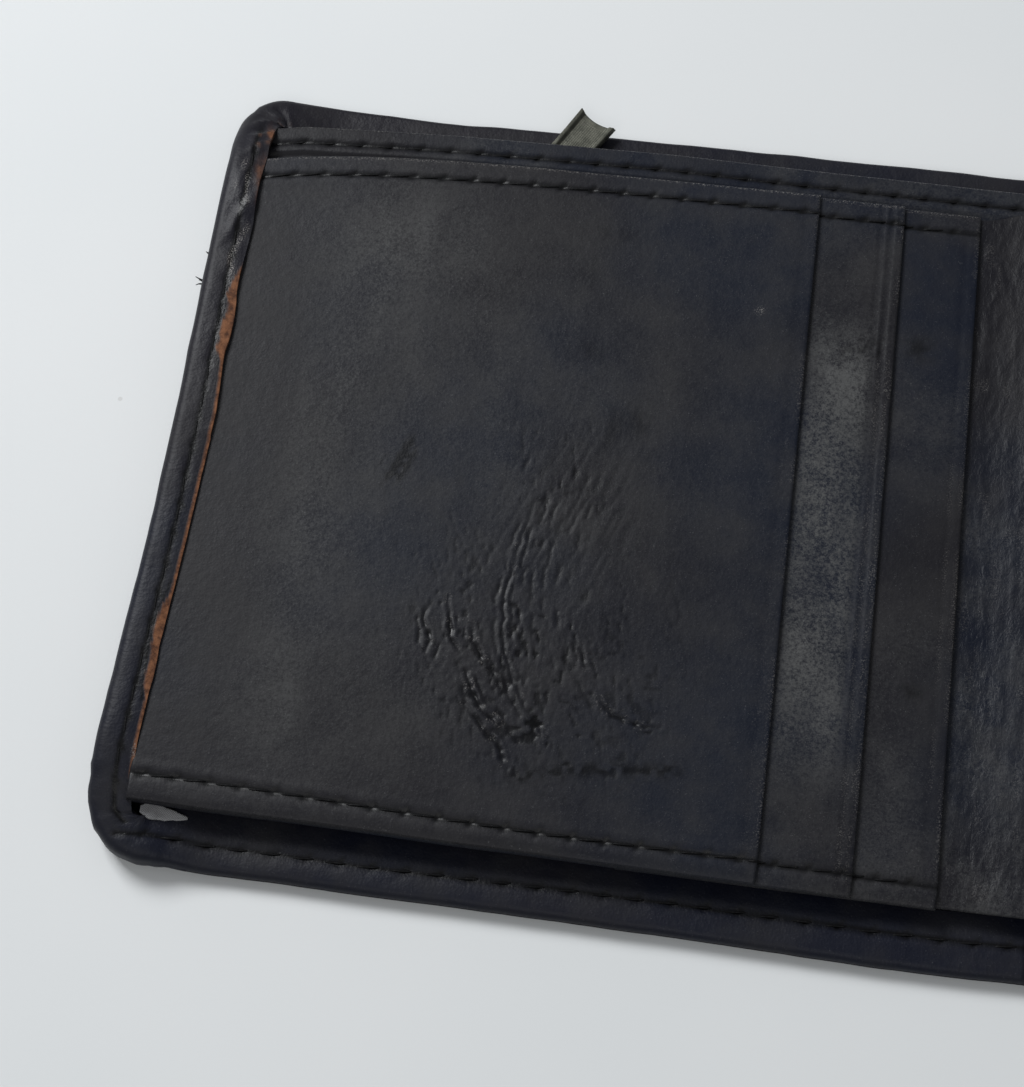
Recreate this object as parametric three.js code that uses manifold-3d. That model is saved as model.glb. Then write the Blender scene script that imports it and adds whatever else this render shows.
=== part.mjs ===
// Trifold wallet in worn black leather, lying open on its outside, inner faces up.
// Millimetres, +Z up. The centre leaf is in the middle, the zipped leaf at -X, the plain leaf at +X,
// and the bill compartment opens toward +Y. Each fold turns on two hinge lines, one at each side of a
// narrow spine, both at the mid-thickness of the outer leather.
import * as THREE from 'three';
import { mergeVertices } from 'three/addons/utils/BufferGeometryUtils.js';
import Module from 'manifold-3d';

const wasm = await Module();
wasm.setup();

// ---- driving dimensions -------------------------------------------------------------------------
const HALF_HEIGHT = 52; // half the wallet's height, along Y
const CENTRE_HALF = 54; // centre leaf, from its middle to each hinge line
const LEFT_SPINE = 11; // between the two hinge lines of the left fold
const RIGHT_SPINE = 17; // the right leaf closes over the left one, so its spine is wider
const LEFT_LEAF = 102.5; // zipped leaf, free edge to hinge line
const RIGHT_LEAF = 101; // plain leaf, free edge to hinge line
const CORNER = 5; // corner radius of the outer leather

const SHELL = 1.0; // outer leather
const TURNED = 0.6; // leather turned in at an edge
const LINING = 0.25;
const BASE = 0.4; // thin leather under the pockets
const LEATHER = 0.55; // pocket and divider leather
const FILM = 0.2; // clear window
const PLY_GAP = 0.05; // between two plies that lie on each other
const HINGE_GAP = 0.6; // outer leather to a hinge line
const HEM_GAP = 2.2; // turned hems to a hinge line
const STACK_GAP = 3.6; // pocket stack to a hinge line

const TOP_HEM = [44, HALF_HEIGHT]; // span along Y of the hem turned in at the top
const BOTTOM_HEM = [-HALF_HEIGHT, -45.5];
const BOTTOM_HEM_TOP = 2.3; // height of the bottom hem, with the divider tucked under it
const SIDE_HEM = 4; // width of the hem that wraps over the pocket ends
const HEM_WALL = 0.9;

const POCKET_TOP = 44.5; // top and bottom edges of every card pocket
const POCKET_BOTTOM = -47.5;
const DIVIDER_TOP = 48.3;
const DIVIDER_TURN = 3.1; // width of the divider's own turned edge
const SLOT_EDGES = { front: 76, middle: 87, back: 97 }; // slot edges, from the leaf's free edge
const POCKET_DEPTH = 57;
const CREASE = { inset: 1.8, half: 0.2, depth: 0.15 }; // line pressed beside each slot edge

const LEFT_BILLS = 3.65; // underside of the divider, clear of the zip behind it
const PLAIN_BILLS = 1.75; // the same where no zip lies behind it

const WINDOW = { width: 78, height: 50, middle: -1.5 }; // opening of the identity window
const FRAME_HALF = 47; // half the width of the window's leather frame

const SEAM = { pitch: 3.9, width: 0.6, height: 0.28, link: 0.1, lift: 0.02, drop: 0.06 };
const SEAM_TOP = 41.8; // pocket seams
const SEAM_BOTTOM = -44.6;
const SEAM_HEM = -49.8;
const SEAM_DIVIDER = 46.6;
const SEAM_SIDE = 2.1; // side seam, from the leaf's free edge

// zip inside the bill compartment of the left leaf; u is measured from that leaf's free edge
const ZIP_Y = 36.5;
const ZIP = { from: 19.8, to: 82.2, pitch: 1.6, slider: 38.6 };
const TAPE = { from: 15, to: 87, inner: 0.75, outer: 6.3, z: [1.5, 1.66] };
const COIL = { inner: 0.45, outer: 1.9, z: [1.7, 2.5], notch: 0.3 };
const SLIDER = { half: 3.75, side: 2.75, bottom: [1.18, 1.4], top: [2.6, 3.0], lug: [1.95, 2.4] };
const RIVET = { out: 4.9, radius: 0.7, headRadius: 1.3, head: [3.15, 3.5] };
const PULL = {
  length: 15, half: 2.8, eye: 1.0, end: 1.85, rim: 0.8, z: [2.5, 3.05], rimTop: 3.45,
  angle: 60, // from +X toward the mouth of the compartment
};

// ---- looks --------------------------------------------------------------------------------------
const material = (color, roughness, metalness = 0, extra = {}) => () =>
  new THREE.MeshStandardMaterial({ color, roughness, metalness, ...extra });
const OUTER = material(0x26262a, 0.5);
const INNER = material(0x2b2b30, 0.42);
const FABRIC = material(0x17171a, 0.9);
const THREAD = material(0x0d0d10, 0.7);
const METAL = material(0x6e6d62, 0.45, 1);
const COIL_PLASTIC = material(0x1a1a1c, 0.5);
const CLEAR = material(0xb9bec2, 0.25, 0, { transparent: true, opacity: 0.5 });

// ---- solids -------------------------------------------------------------------------------------
const shapeOf = (points) => new THREE.Shape(points.map(([a, b]) => new THREE.Vector2(a, b)));

function extruded(shape, depth, across, up, along, at) {
  const g = new THREE.ExtrudeGeometry(shape, { depth, bevelEnabled: false, curveSegments: 8 });
  const basis = new THREE.Matrix4().makeBasis(across, up, along);
  return g.applyMatrix4(basis.setPosition(at));
}
const X = new THREE.Vector3(1, 0, 0);
const Y = new THREE.Vector3(0, 1, 0);
const Z = new THREE.Vector3(0, 0, 1);
const MINUS_Y = new THREE.Vector3(0, -1, 0);

// A plan outline raised from z0 to z1, an XZ profile drawn along Y, and a YZ profile drawn along X.
const raise = (shape, z0, z1) => extruded(shape, z1 - z0, X, Y, Z, new THREE.Vector3(0, 0, z0));
const alongY = (points, y0, y1) =>
  extruded(shapeOf(points), y1 - y0, X, Z, MINUS_Y, new THREE.Vector3(0, y1, 0));
const alongX = (points, x0, x1) =>
  extruded(shapeOf(points), x1 - x0, Y, Z, X, new THREE.Vector3(x0, 0, 0));

function slab([x0, x1], [y0, y1], [z0, z1]) {
  const g = new THREE.BoxGeometry(x1 - x0, y1 - y0, z1 - z0);
  return g.translate((x0 + x1) / 2, (y0 + y1) / 2, (z0 + z1) / 2);
}

function solid(geometry) {
  const bare = geometry.clone();
  bare.deleteAttribute('normal');
  bare.deleteAttribute('uv');
  const merged = mergeVertices(bare, 1e-4);
  const vertProperties = merged.attributes.position.array;
  return new wasm.Manifold(
    new wasm.Mesh({ numProp: 3, vertProperties, triVerts: new Uint32Array(merged.index.array) }),
  );
}

function geometryOf(manifold) {
  const mesh = manifold.getMesh();
  const g = new THREE.BufferGeometry();
  g.setAttribute('position', new THREE.BufferAttribute(mesh.vertProperties, 3));
  g.setIndex(new THREE.BufferAttribute(mesh.triVerts, 1));
  return g;
}
const join = (...geometries) =>
  geometryOf(geometries.map(solid).reduce((sum, next) => sum.add(next)));
const cut = (geometry, ...tools) =>
  geometryOf(tools.map(solid).reduce((rest, tool) => rest.subtract(tool), solid(geometry)));
const common = (geometry, ...others) =>
  geometryOf(others.map(solid).reduce((rest, other) => rest.intersect(other), solid(geometry)));

// Leaf outline with its two free corners rounded, drawn in by inset on the free sides.
function leafOutline(length, inset) {
  const [x0, y1, r] = [inset, HALF_HEIGHT - inset, CORNER - inset];
  const s = new THREE.Shape();
  s.moveTo(length, -y1);
  s.lineTo(length, y1);
  s.lineTo(x0 + r, y1);
  s.absarc(x0 + r, y1 - r, r, Math.PI / 2, Math.PI, false);
  s.lineTo(x0, -y1 + r);
  s.absarc(x0 + r, -y1 + r, r, Math.PI, 1.5 * Math.PI, false);
  return s;
}

// ---- pieces shared by the leaves ----------------------------------------------------------------
const BOTTOM_PROFILE = [
  [-HALF_HEIGHT, 0], [-HALF_HEIGHT, BOTTOM_HEM_TOP], [BOTTOM_HEM[1], BOTTOM_HEM_TOP],
  [BOTTOM_HEM[1], BOTTOM_HEM_TOP - TURNED], [-HALF_HEIGHT + HEM_WALL, BOTTOM_HEM_TOP - TURNED],
  [-HALF_HEIGHT + HEM_WALL, SHELL / 2], [-HALF_HEIGHT + HEM_WALL, 0],
];

// Outer leather between two lines: a plate with a hem turned in at the top and bottom.
const outerLeather = ([x0, x1], hemGap0, hemGap1) =>
  join(
    slab([x0, x1], [-HALF_HEIGHT, HALF_HEIGHT], [0, SHELL]),
    slab([x0 + hemGap0, x1 - hemGap1], TOP_HEM, [SHELL / 2, SHELL + TURNED]),
    alongX(BOTTOM_PROFILE, x0 + hemGap0, x1 - hemGap1),
  );

// Height of the side hem over the leaf's height: full over the pockets, low at both corners.
const sideHemLine = (top) => [
  [-HALF_HEIGHT, BOTTOM_HEM_TOP], [-49, 0.6 * top + 0.9], [POCKET_BOTTOM - 0.1, top], [POCKET_TOP + 0.1, top],
  [DIVIDER_TOP + 0.2, top - 1.65], [50.4, 0.3 * top + 1.1], [HALF_HEIGHT, SHELL + TURNED + 0.3],
];

function leafShell(length, hemTop) {
  const end = length - HINGE_GAP;
  const hemEnd = length - HEM_GAP;
  const line = sideHemLine(hemTop);
  const under = line.map(([y, z]) => [y, z - TURNED]).reverse();
  const ring = cut(
    raise(leafOutline(hemEnd, 0), SHELL / 2, hemTop + 1),
    raise(leafOutline(length + 1, HEM_WALL), 0, hemTop + 2),
  );
  const outline = raise(leafOutline(hemEnd, 0), SHELL / 2, hemTop + 1);
  const whole = [-HALF_HEIGHT - 1, HALF_HEIGHT + 1];
  return join(
    raise(leafOutline(end, 0), 0, SHELL),
    common(outline, slab([0, hemEnd], TOP_HEM, [SHELL / 2, SHELL + TURNED])),
    common(ring, slab([0, hemEnd], [whole[0], BOTTOM_HEM[1]], [0, BOTTOM_HEM_TOP])),
    common(outline, slab([0, hemEnd], BOTTOM_HEM, [BOTTOM_HEM_TOP - TURNED, BOTTOM_HEM_TOP])),
    common(ring, alongX([[-HALF_HEIGHT, 0], ...line, [HALF_HEIGHT, 0]], 0, CORNER + 1)),
    common(outline, alongX([...line, ...under], 0, SIDE_HEM)),
  );
}

// Divider of the bill compartment: flat, its top edge turned, its bottom edge tucked under the hem.
function dividerProfile(z) {
  const tuck = SHELL + PLY_GAP;
  const foot = BOTTOM_HEM[1] + 0.55;
  const slope = [foot, foot + 1.1 + 0.9 * (z - tuck)];
  return [
    [-HALF_HEIGHT + HEM_WALL + 0.1, tuck], [slope[0], tuck], [slope[1], z], [DIVIDER_TOP, z],
    [DIVIDER_TOP, z + LEATHER + 0.45], [DIVIDER_TOP - DIVIDER_TURN, z + LEATHER + 0.45],
    [DIVIDER_TOP - DIVIDER_TURN, z + LEATHER], [slope[1] - 0.35, z + LEATHER],
    [slope[0] - 0.35, tuck + LEATHER], [-HALF_HEIGHT + HEM_WALL + 0.1, tuck + LEATHER],
  ];
}

// One card pocket: its slot edge is rounded and has a line pressed beside it.
function pocket(from, edge, z) {
  const [top, line] = [z + LEATHER, edge - CREASE.inset];
  return alongY([
    [from, z], [edge - 0.15, z], [edge, z + 0.15], [edge, top - 0.15], [edge - 0.15, top],
    [line + CREASE.half, top], [line, top - CREASE.depth], [line - CREASE.half, top], [from, top],
  ], POCKET_BOTTOM, POCKET_TOP);
}

// Profile of a row of stitches lying on surfaces of falling height, as one unbroken thread.
function stitches(runs) {
  const lower = [];
  const upper = [];
  runs.forEach(({ from, to, z }, i) => {
    const last = i === runs.length - 1;
    const count = Math.max(1, Math.round((to - from) / SEAM.pitch));
    const step = (to - from) / count;
    const end = last ? to : to + SEAM.drop;
    lower.push([i ? from + SEAM.drop : from, z + SEAM.lift], [end, z + SEAM.lift]);
    for (let k = 0; k < count; k += 1) {
      const [a, b] = [from + (k + 0.14) * step, from + (k + 0.86) * step];
      upper.push([a, z + SEAM.link], [a + 0.12, z + SEAM.height]);
      upper.push([b - 0.12, z + SEAM.height], [b, z + SEAM.link]);
    }
    const outer = last ? to : to + SEAM.drop + 0.15;
    upper.push([outer, z + SEAM.link]);
    if (!last) upper.push([outer, runs[i + 1].z + SEAM.link]);
  });
  upper.unshift([runs[0].from, runs[0].z + SEAM.link]);
  return [...lower, ...upper.reverse()];
}
const seamAlongX = (runs, y) => alongY(stitches(runs), y - SEAM.width / 2, y + SEAM.width / 2);
const seamAlongY = (from, to, z, x) =>
  alongX(stitches([{ from, to, z }]), x - SEAM.width / 2, x + SEAM.width / 2);

function add(group, name, geometry, look) {
  const mesh = new THREE.Mesh(geometry, look());
  mesh.name = name;
  group.add(mesh);
}

// ---- leaves -------------------------------------------------------------------------------------
// Plies of a pocket leaf from the divider up. u runs from the free edge (0) toward the fold.
function pocketLeaf(group, name, length, bills, lining) {
  const end = length - STACK_GAP;
  const base = bills + LEATHER + PLY_GAP;
  const back = base + BASE + PLY_GAP;
  const middle = back + LEATHER + PLY_GAP;
  const front = middle + LEATHER + PLY_GAP;
  const hemTop = front + LEATHER + PLY_GAP + TURNED;
  const inside = HEM_WALL + 0.3;
  const innerOutline = raise(leafOutline(length, inside), 0, hemTop);
  const divider = alongX(dividerProfile(bills), inside, end);

  add(group, `${name}_shell`, leafShell(length, hemTop), OUTER);
  add(group, `${name}_lining`, lining(inside, end), FABRIC);
  add(group, `${name}_divider`, common(divider, innerOutline), INNER);
  const span = [POCKET_BOTTOM, POCKET_TOP];
  add(group, `${name}_pocket_base`, slab([inside, end], span, [base, base + BASE]), INNER);
  const { front: e1, middle: e2, back: e3 } = SLOT_EDGES;
  add(group, `${name}_pocket_back`, pocket(e3 - POCKET_DEPTH, e3, back), INNER);
  add(group, `${name}_pocket_middle`, pocket(e2 - POCKET_DEPTH, e2, middle), INNER);
  add(group, `${name}_pocket_front`, pocket(inside, e1, front), INNER);

  const runs = [
    { from: SIDE_HEM + 0.3, to: e1, z: front + LEATHER }, { from: e1, to: e2, z: middle + LEATHER },
    { from: e2, to: e3, z: back + LEATHER }, { from: e3, to: end, z: base + BASE },
  ];
  add(group, `${name}_seam_pocket_top`, seamAlongX(runs, SEAM_TOP), THREAD);
  add(group, `${name}_seam_pocket_bottom`, seamAlongX(runs, SEAM_BOTTOM), THREAD);
  const along = (from, z) => [{ from, to: end, z }];
  const dividerSeam = seamAlongX(along(SIDE_HEM + 0.3, bills + LEATHER + 0.45), SEAM_DIVIDER);
  add(group, `${name}_seam_divider`, dividerSeam, THREAD);
  add(group, `${name}_seam_hem`, seamAlongX(along(CORNER + 1.5, BOTTOM_HEM_TOP), SEAM_HEM), THREAD);
  add(group, `${name}_seam_side`, seamAlongY(-47, 44, hemTop, SEAM_SIDE), THREAD);
}

const liningSpan = [BOTTOM_HEM[1] + 1.2, TOP_HEM[0] - 0.3];
const plainLining = (from, to) => slab([from, to], liningSpan, [SHELL + PLY_GAP, SHELL + PLY_GAP + LINING]);

// Lining of the zipped leaf, with a slit under the zip; it lies over the zip's pocket bag.
const slitLining = (from, to) =>
  cut(
    slab([from, to], liningSpan, [1.18, 1.4]),
    slab([TAPE.from + 1.5, TAPE.to - 1.5], [ZIP_Y - 3.3, ZIP_Y + 3.3], [1, 2]),
  );

// A row of coil teeth drawn as a notched strip.
function coil(side) {
  const [z0, z1] = COIL.z;
  const count = Math.round((ZIP.to - ZIP.from) / ZIP.pitch);
  const step = (ZIP.to - ZIP.from) / count;
  const top = [];
  for (let k = 0; k < count; k += 1) {
    const a = ZIP.from + k * step;
    top.push([a, z1 - COIL.notch], [a + 0.25 * step, z1], [a + 0.75 * step, z1]);
  }
  const profile = [[ZIP.from, z0], [ZIP.to, z0], [ZIP.to, z1 - COIL.notch], ...top.reverse()];
  const ys = [ZIP_Y + side * COIL.inner, ZIP_Y + side * COIL.outer].sort((a, b) => a - b);
  return alongY(profile, ...ys);
}

const tape = (side) =>
  slab([TAPE.from, TAPE.to], [ZIP_Y + side * TAPE.inner, ZIP_Y + side * TAPE.outer].sort((a, b) => a - b), TAPE.z);

// Slider: two plates on a centre post, with a lug and rivet on the mouth side that carry the pull.
function slider() {
  const [u, y, { half, side, bottom, top, lug }] = [ZIP.slider, ZIP_Y, SLIDER];
  const spanU = [u - half, u + half];
  const pin = (radius, z0, z1) =>
    new THREE.CylinderGeometry(radius, radius, z1 - z0, 24)
      .rotateX(Math.PI / 2)
      .translate(u, y + RIVET.out, (z0 + z1) / 2);
  return join(
    slab(spanU, [y - side, y + side], bottom),
    slab(spanU, [y - side, y + side], top),
    slab([u - 1, u + 1], [y - 0.3, y + 0.3], [bottom[0], top[1]]),
    slab(spanU, [y + side - 0.4, y + side], [lug[0], top[1]]),
    slab(spanU, [y - side, y - side + 0.4], [lug[0], top[1]]),
    slab([u - 2, u + 2], [y + side - 0.2, y + 6.5], lug),
    pin(RIVET.radius, lug[1] - 0.1, RIVET.head[0] + 0.1),
    pin(RIVET.headRadius, ...RIVET.head),
  );
}

// Pull: an eye at the rivet, a widening tab with raised rims and cross ribs, and a hollow end.
function pull() {
  const { length, half, eye, end, z, rimTop, rim } = PULL;
  const s = new THREE.Shape();
  s.moveTo(4.5, half);
  s.lineTo(1.2, end * 0.9);
  s.absarc(0, 0, end, Math.atan2(end * 0.9, 1.2), 2 * Math.PI - Math.atan2(end * 0.9, 1.2), false);
  s.lineTo(4.5, -half);
  s.lineTo(length, -half);
  s.quadraticCurveTo(length - 2.4, 0, length, half);
  const hole = new THREE.CylinderGeometry(eye, eye, 4, 24).rotateX(Math.PI / 2).translate(0, 0, z[0]);
  const rims = [-1, 1].map((k) =>
    slab([4.5, length - 0.05], k < 0 ? [-half, -half + rim] : [half - rim, half], [z[0] + 0.1, rimTop]));
  const ribs = [];
  for (let u = 6; u < length - 2.6; u += 1.1)
    ribs.push(slab([u, u + 0.5], [-half + rim - 0.1, half - rim + 0.1], [z[0] + 0.1, z[1] + 0.15]));
  const turned = join(cut(raise(s, ...z), hole), ...rims, ...ribs);
  return turned
    .rotateZ(THREE.MathUtils.degToRad(PULL.angle))
    .translate(ZIP.slider, ZIP_Y + RIVET.out, 0);
}

const wallet = new THREE.Group();

const left = new THREE.Group();
left.position.x = -CENTRE_HALF - LEFT_SPINE - LEFT_LEAF;
pocketLeaf(left, 'left', LEFT_LEAF, LEFT_BILLS, slitLining);
add(left, 'zip_pocket_bag', slab([8, 95], [14, 43.5], [1.03, 1.13]), FABRIC);
add(left, 'zip_tape_lower', tape(-1), FABRIC);
add(left, 'zip_tape_upper', tape(1), FABRIC);
add(left, 'zip_coil_lower', coil(-1), COIL_PLASTIC);
add(left, 'zip_coil_upper', coil(1), COIL_PLASTIC);
for (const [name, at] of [['zip_stop_start', ZIP.from - 1], ['zip_stop_end', ZIP.to + 1]])
  add(left, name, slab([at - 0.6, at + 0.6], [ZIP_Y - 2, ZIP_Y + 2], COIL.z), METAL);
add(left, 'zip_slider', slider(), METAL);
add(left, 'zip_pull', pull(), METAL);
wallet.add(left);

const right = new THREE.Group();
right.position.x = CENTRE_HALF + RIGHT_SPINE + RIGHT_LEAF;
right.scale.x = -1; // the plain leaf mirrors the zipped one
pocketLeaf(right, 'right', RIGHT_LEAF, PLAIN_BILLS, plainLining);
wallet.add(right);

// Centre leaf: divider, one pocket panel, and a leather frame that holds a clear window.
const centre = new THREE.Group();
const halfStack = CENTRE_HALF - STACK_GAP;
const halfPlate = CENTRE_HALF - HINGE_GAP;
const panelZ = PLAIN_BILLS + LEATHER + PLY_GAP;
const filmZ = panelZ + LEATHER + PLY_GAP;
const frameZ = filmZ + FILM + PLY_GAP;
const pocketSpan = [POCKET_BOTTOM, POCKET_TOP];
const windowSpans = [
  [-WINDOW.width / 2, WINDOW.width / 2],
  [WINDOW.middle - WINDOW.height / 2, WINDOW.middle + WINDOW.height / 2],
];
add(centre, 'centre_shell', outerLeather([-halfPlate, halfPlate], HEM_GAP - HINGE_GAP, HEM_GAP - HINGE_GAP), OUTER);
add(centre, 'centre_lining', plainLining(-halfStack, halfStack), FABRIC);
add(centre, 'centre_divider', alongX(dividerProfile(PLAIN_BILLS), -halfStack, halfStack), INNER);
add(centre, 'centre_pocket', slab([-halfStack, halfStack], pocketSpan, [panelZ, panelZ + LEATHER]), INNER);
const filmSpans = windowSpans.map(([a, b]) => [a - 2, b + 2]);
add(centre, 'centre_window', slab(...filmSpans, [filmZ, filmZ + FILM]), CLEAR);
const frame = slab([-FRAME_HALF, FRAME_HALF], pocketSpan, [frameZ, frameZ + LEATHER]);
add(centre, 'centre_window_frame', cut(frame, slab(...windowSpans, [frameZ - 1, frameZ + 2])), INNER);
const frameSeam = (y) => seamAlongX([{ from: -FRAME_HALF + 1, to: FRAME_HALF - 1, z: frameZ + LEATHER }], y);
const leafSeam = (z, y) => seamAlongX([{ from: -halfStack, to: halfStack, z }], y);
add(centre, 'centre_seam_frame_top', frameSeam(SEAM_TOP), THREAD);
add(centre, 'centre_seam_frame_bottom', frameSeam(SEAM_BOTTOM), THREAD);
add(centre, 'centre_seam_divider', leafSeam(PLAIN_BILLS + LEATHER + 0.45, SEAM_DIVIDER), THREAD);
add(centre, 'centre_seam_hem', leafSeam(BOTTOM_HEM_TOP, SEAM_HEM), THREAD);
wallet.add(centre);

// ---- folds --------------------------------------------------------------------------------------
// Inner leather of a fold: it arches up between the two hinge lines.
function foldLiner(x0, x1) {
  const [low, rise, ply, steps] = [SHELL + 0.35, 1.85, TURNED, 8];
  const arch = (lift) => Array.from({ length: steps + 1 }, (_, i) => {
    const t = i / steps;
    return [x0 + (x1 - x0) * t, low + lift + rise * Math.min(1, 1.6 * Math.sin(Math.PI * t))];
  });
  return alongY([...arch(0), ...arch(ply).reverse()], BOTTOM_HEM[1] + 0.3, TOP_HEM[0] - 0.3);
}

for (const [name, x0, x1] of [
  ['left_fold', -CENTRE_HALF - LEFT_SPINE, -CENTRE_HALF],
  ['right_fold', CENTRE_HALF, CENTRE_HALF + RIGHT_SPINE],
]) {
  const fold = new THREE.Group();
  const [a, b] = [x0 + HINGE_GAP, x1 - HINGE_GAP];
  add(fold, `${name}_shell`, outerLeather([a, b], 0, 0), OUTER);
  add(fold, `${name}_lining`, plainLining(a, b), FABRIC);
  add(fold, `${name}_liner`, foldLiner(a + 0.1, b - 0.1), INNER);
  add(fold, `${name}_seam_hem`, seamAlongX([{ from: a + 0.4, to: b - 0.4, z: BOTTOM_HEM_TOP }], SEAM_HEM), THREAD);
  wallet.add(fold);
}

export default wallet;
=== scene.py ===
"""A worn black trifold wallet, lying open on a pale table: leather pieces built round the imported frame."""

import bpy
import numpy as np
from mathutils import Matrix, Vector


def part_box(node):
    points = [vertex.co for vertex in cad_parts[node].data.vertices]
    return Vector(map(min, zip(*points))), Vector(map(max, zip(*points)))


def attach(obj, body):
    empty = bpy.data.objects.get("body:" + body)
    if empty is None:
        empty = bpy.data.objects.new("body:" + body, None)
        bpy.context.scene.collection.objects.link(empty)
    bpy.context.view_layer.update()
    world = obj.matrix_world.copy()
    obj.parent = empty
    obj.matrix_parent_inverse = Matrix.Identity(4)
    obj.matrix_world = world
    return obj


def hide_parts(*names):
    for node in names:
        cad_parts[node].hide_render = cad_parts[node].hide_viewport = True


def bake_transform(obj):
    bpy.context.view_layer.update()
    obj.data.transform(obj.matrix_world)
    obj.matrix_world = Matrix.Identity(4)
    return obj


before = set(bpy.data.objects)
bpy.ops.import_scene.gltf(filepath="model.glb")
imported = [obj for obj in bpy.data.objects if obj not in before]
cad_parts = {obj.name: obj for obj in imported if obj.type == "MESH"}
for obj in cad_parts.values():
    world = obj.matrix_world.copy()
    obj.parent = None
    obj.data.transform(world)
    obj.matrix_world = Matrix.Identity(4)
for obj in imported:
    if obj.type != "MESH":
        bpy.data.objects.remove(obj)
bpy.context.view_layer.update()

# ------------------------------------------------------------------ camera
# It looks down on the left leaf from in front, a little to the right of it. Lengths are in millimetres.
CAMERA_AIM = (-124.98, -6.44, 0.0)
CAMERA_DISTANCE = 287.8
CAMERA_TURN, CAMERA_HEIGHT, CAMERA_ROLL = np.radians((-9.9, 67.71, 2.48))
CAMERA_LENS = 76.53


def add_camera():
    turn, height = CAMERA_TURN, CAMERA_HEIGHT
    forward = np.array((np.sin(turn) * np.cos(height), np.cos(turn) * np.cos(height), -np.sin(height)))
    right = np.array((np.cos(turn), -np.sin(turn), 0.0))
    down = np.cross(forward, right)
    cos, sin = np.cos(CAMERA_ROLL), np.sin(CAMERA_ROLL)
    right, down = right * cos + down * sin, down * cos - right * sin
    place = (np.array(CAMERA_AIM) - forward * CAMERA_DISTANCE) / 1000
    camera = bpy.data.objects.new("camera", bpy.data.cameras.new("camera"))
    camera.data.lens = CAMERA_LENS
    camera.data.sensor_width = 36
    camera.data.clip_start = 0.01
    axes = np.stack((right, -down, -forward), axis=1)
    camera.matrix_world = Matrix([list(axes[i]) + [place[i]] for i in range(3)] + [[0, 0, 0, 1]])
    bpy.context.scene.collection.objects.link(camera)
    bpy.context.scene.camera = camera


add_camera()

# ------------------------------------------------------------------ sizes, mm
HALF = 52.0                                 # half the height of every leaf
CORNER = 5.0                                # radius of the free corners
PLATE = 0.45                                # height of the outer leather's middle surface, flat on the table
LEAF = {"left": (-167.5, 1), "centre": (0.0, 1), "right": (172.0, -1)}
LEFT_MID, RIGHT_MID = 108.0, 109.5          # from a leaf's free edge to the middle of its fold
CENTRE_LEFT, CENTRE_RIGHT = -59.5, 62.5     # the same two lines, from the middle of the wallet
FOLDS = {
    "left_outer": ("left_leaf", "left_spine", -69.7, -60.3),
    "left_inner": ("left_spine", "centre_leaf", -58.7, -49.3),
    "right_inner": ("centre_leaf", "right_spine", 48.0, 60.0),
    "right_outer": ("right_spine", "right_leaf", 65.0, 77.0),
}
LOW_EDGE = 1.4                              # how far the bottom hem has stretched out past the cut size
HIGH_EDGE = 0.7                             # and the top edge
HEM_SEAM = -49.8                            # y of the bottom hem's stitches
HEM_RISE = 0.39                             # from the hems' middle surface to the stitches on them
EDGE_STEPS = np.array((0.0, 0.04, 0.15, 0.35, 0.65, 1.0))


# ------------------------------------------------------------------ noise
def lattice(ix, iy, seed):
    """A fixed random number from 0 to 1 for each point of a square lattice."""
    h = (ix.astype(np.int64) * 374761393 + iy.astype(np.int64) * 668265263 + seed * 144269504) & 0xFFFFFFFF
    h = ((h ^ (h >> 13)) * 1274126177) & 0xFFFFFFFF
    return ((h ^ (h >> 16)) & 0xFFFFFF) / 0xFFFFFF


def noise(x, y, seed):
    """Smooth value noise from -1 to 1, with one bump to each unit."""
    x, y = np.broadcast_arrays(np.asarray(x, float), np.asarray(y, float))
    ix, iy = np.floor(x), np.floor(y)
    fx, fy = x - ix, y - iy
    fx, fy = fx * fx * (3 - 2 * fx), fy * fy * (3 - 2 * fy)
    low = lattice(ix, iy, seed) * (1 - fx) + lattice(ix + 1, iy, seed) * fx
    high = lattice(ix, iy + 1, seed) * (1 - fx) + lattice(ix + 1, iy + 1, seed) * fx
    return (low * (1 - fy) + high * fy) * 2 - 1


def rough(x, y, size, seed, octaves=3):
    """Noise with finer noise on it; size is the width of its largest bumps in mm."""
    total, weight, scale = 0.0, 1.0, 1.0 / size
    for k in range(octaves):
        total = total + weight * noise(x * scale, y * scale, seed + 17 * k)
        weight, scale = weight * 0.5, scale * 2.03
    return total / (2 - 2 * weight)


def ramp(value, low, high):
    """0 below low, 1 above high, and smooth in between. low may be above high."""
    t = np.clip((np.asarray(value, float) - low) / (high - low), 0, 1)
    return t * t * (3 - 2 * t)


def bell(distance, width):
    """1 at distance 0, fading out at about twice the width."""
    return np.exp(-((distance / width) ** 2))


def spot(u, y, cu, cy, ru, ry, lean=0.0):
    """A soft round patch about (cu, cy)."""
    du, dy = u - cu - lean * (y - cy), y - cy
    return np.exp(-((du / ru) ** 2) - (dy / ry) ** 2)


def spots(u, y, *patches):
    """Several spots added up, each (strength, cu, cy, ru, ry, lean)."""
    return sum(strength * spot(u, y, *place) for strength, *place in patches)


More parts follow.
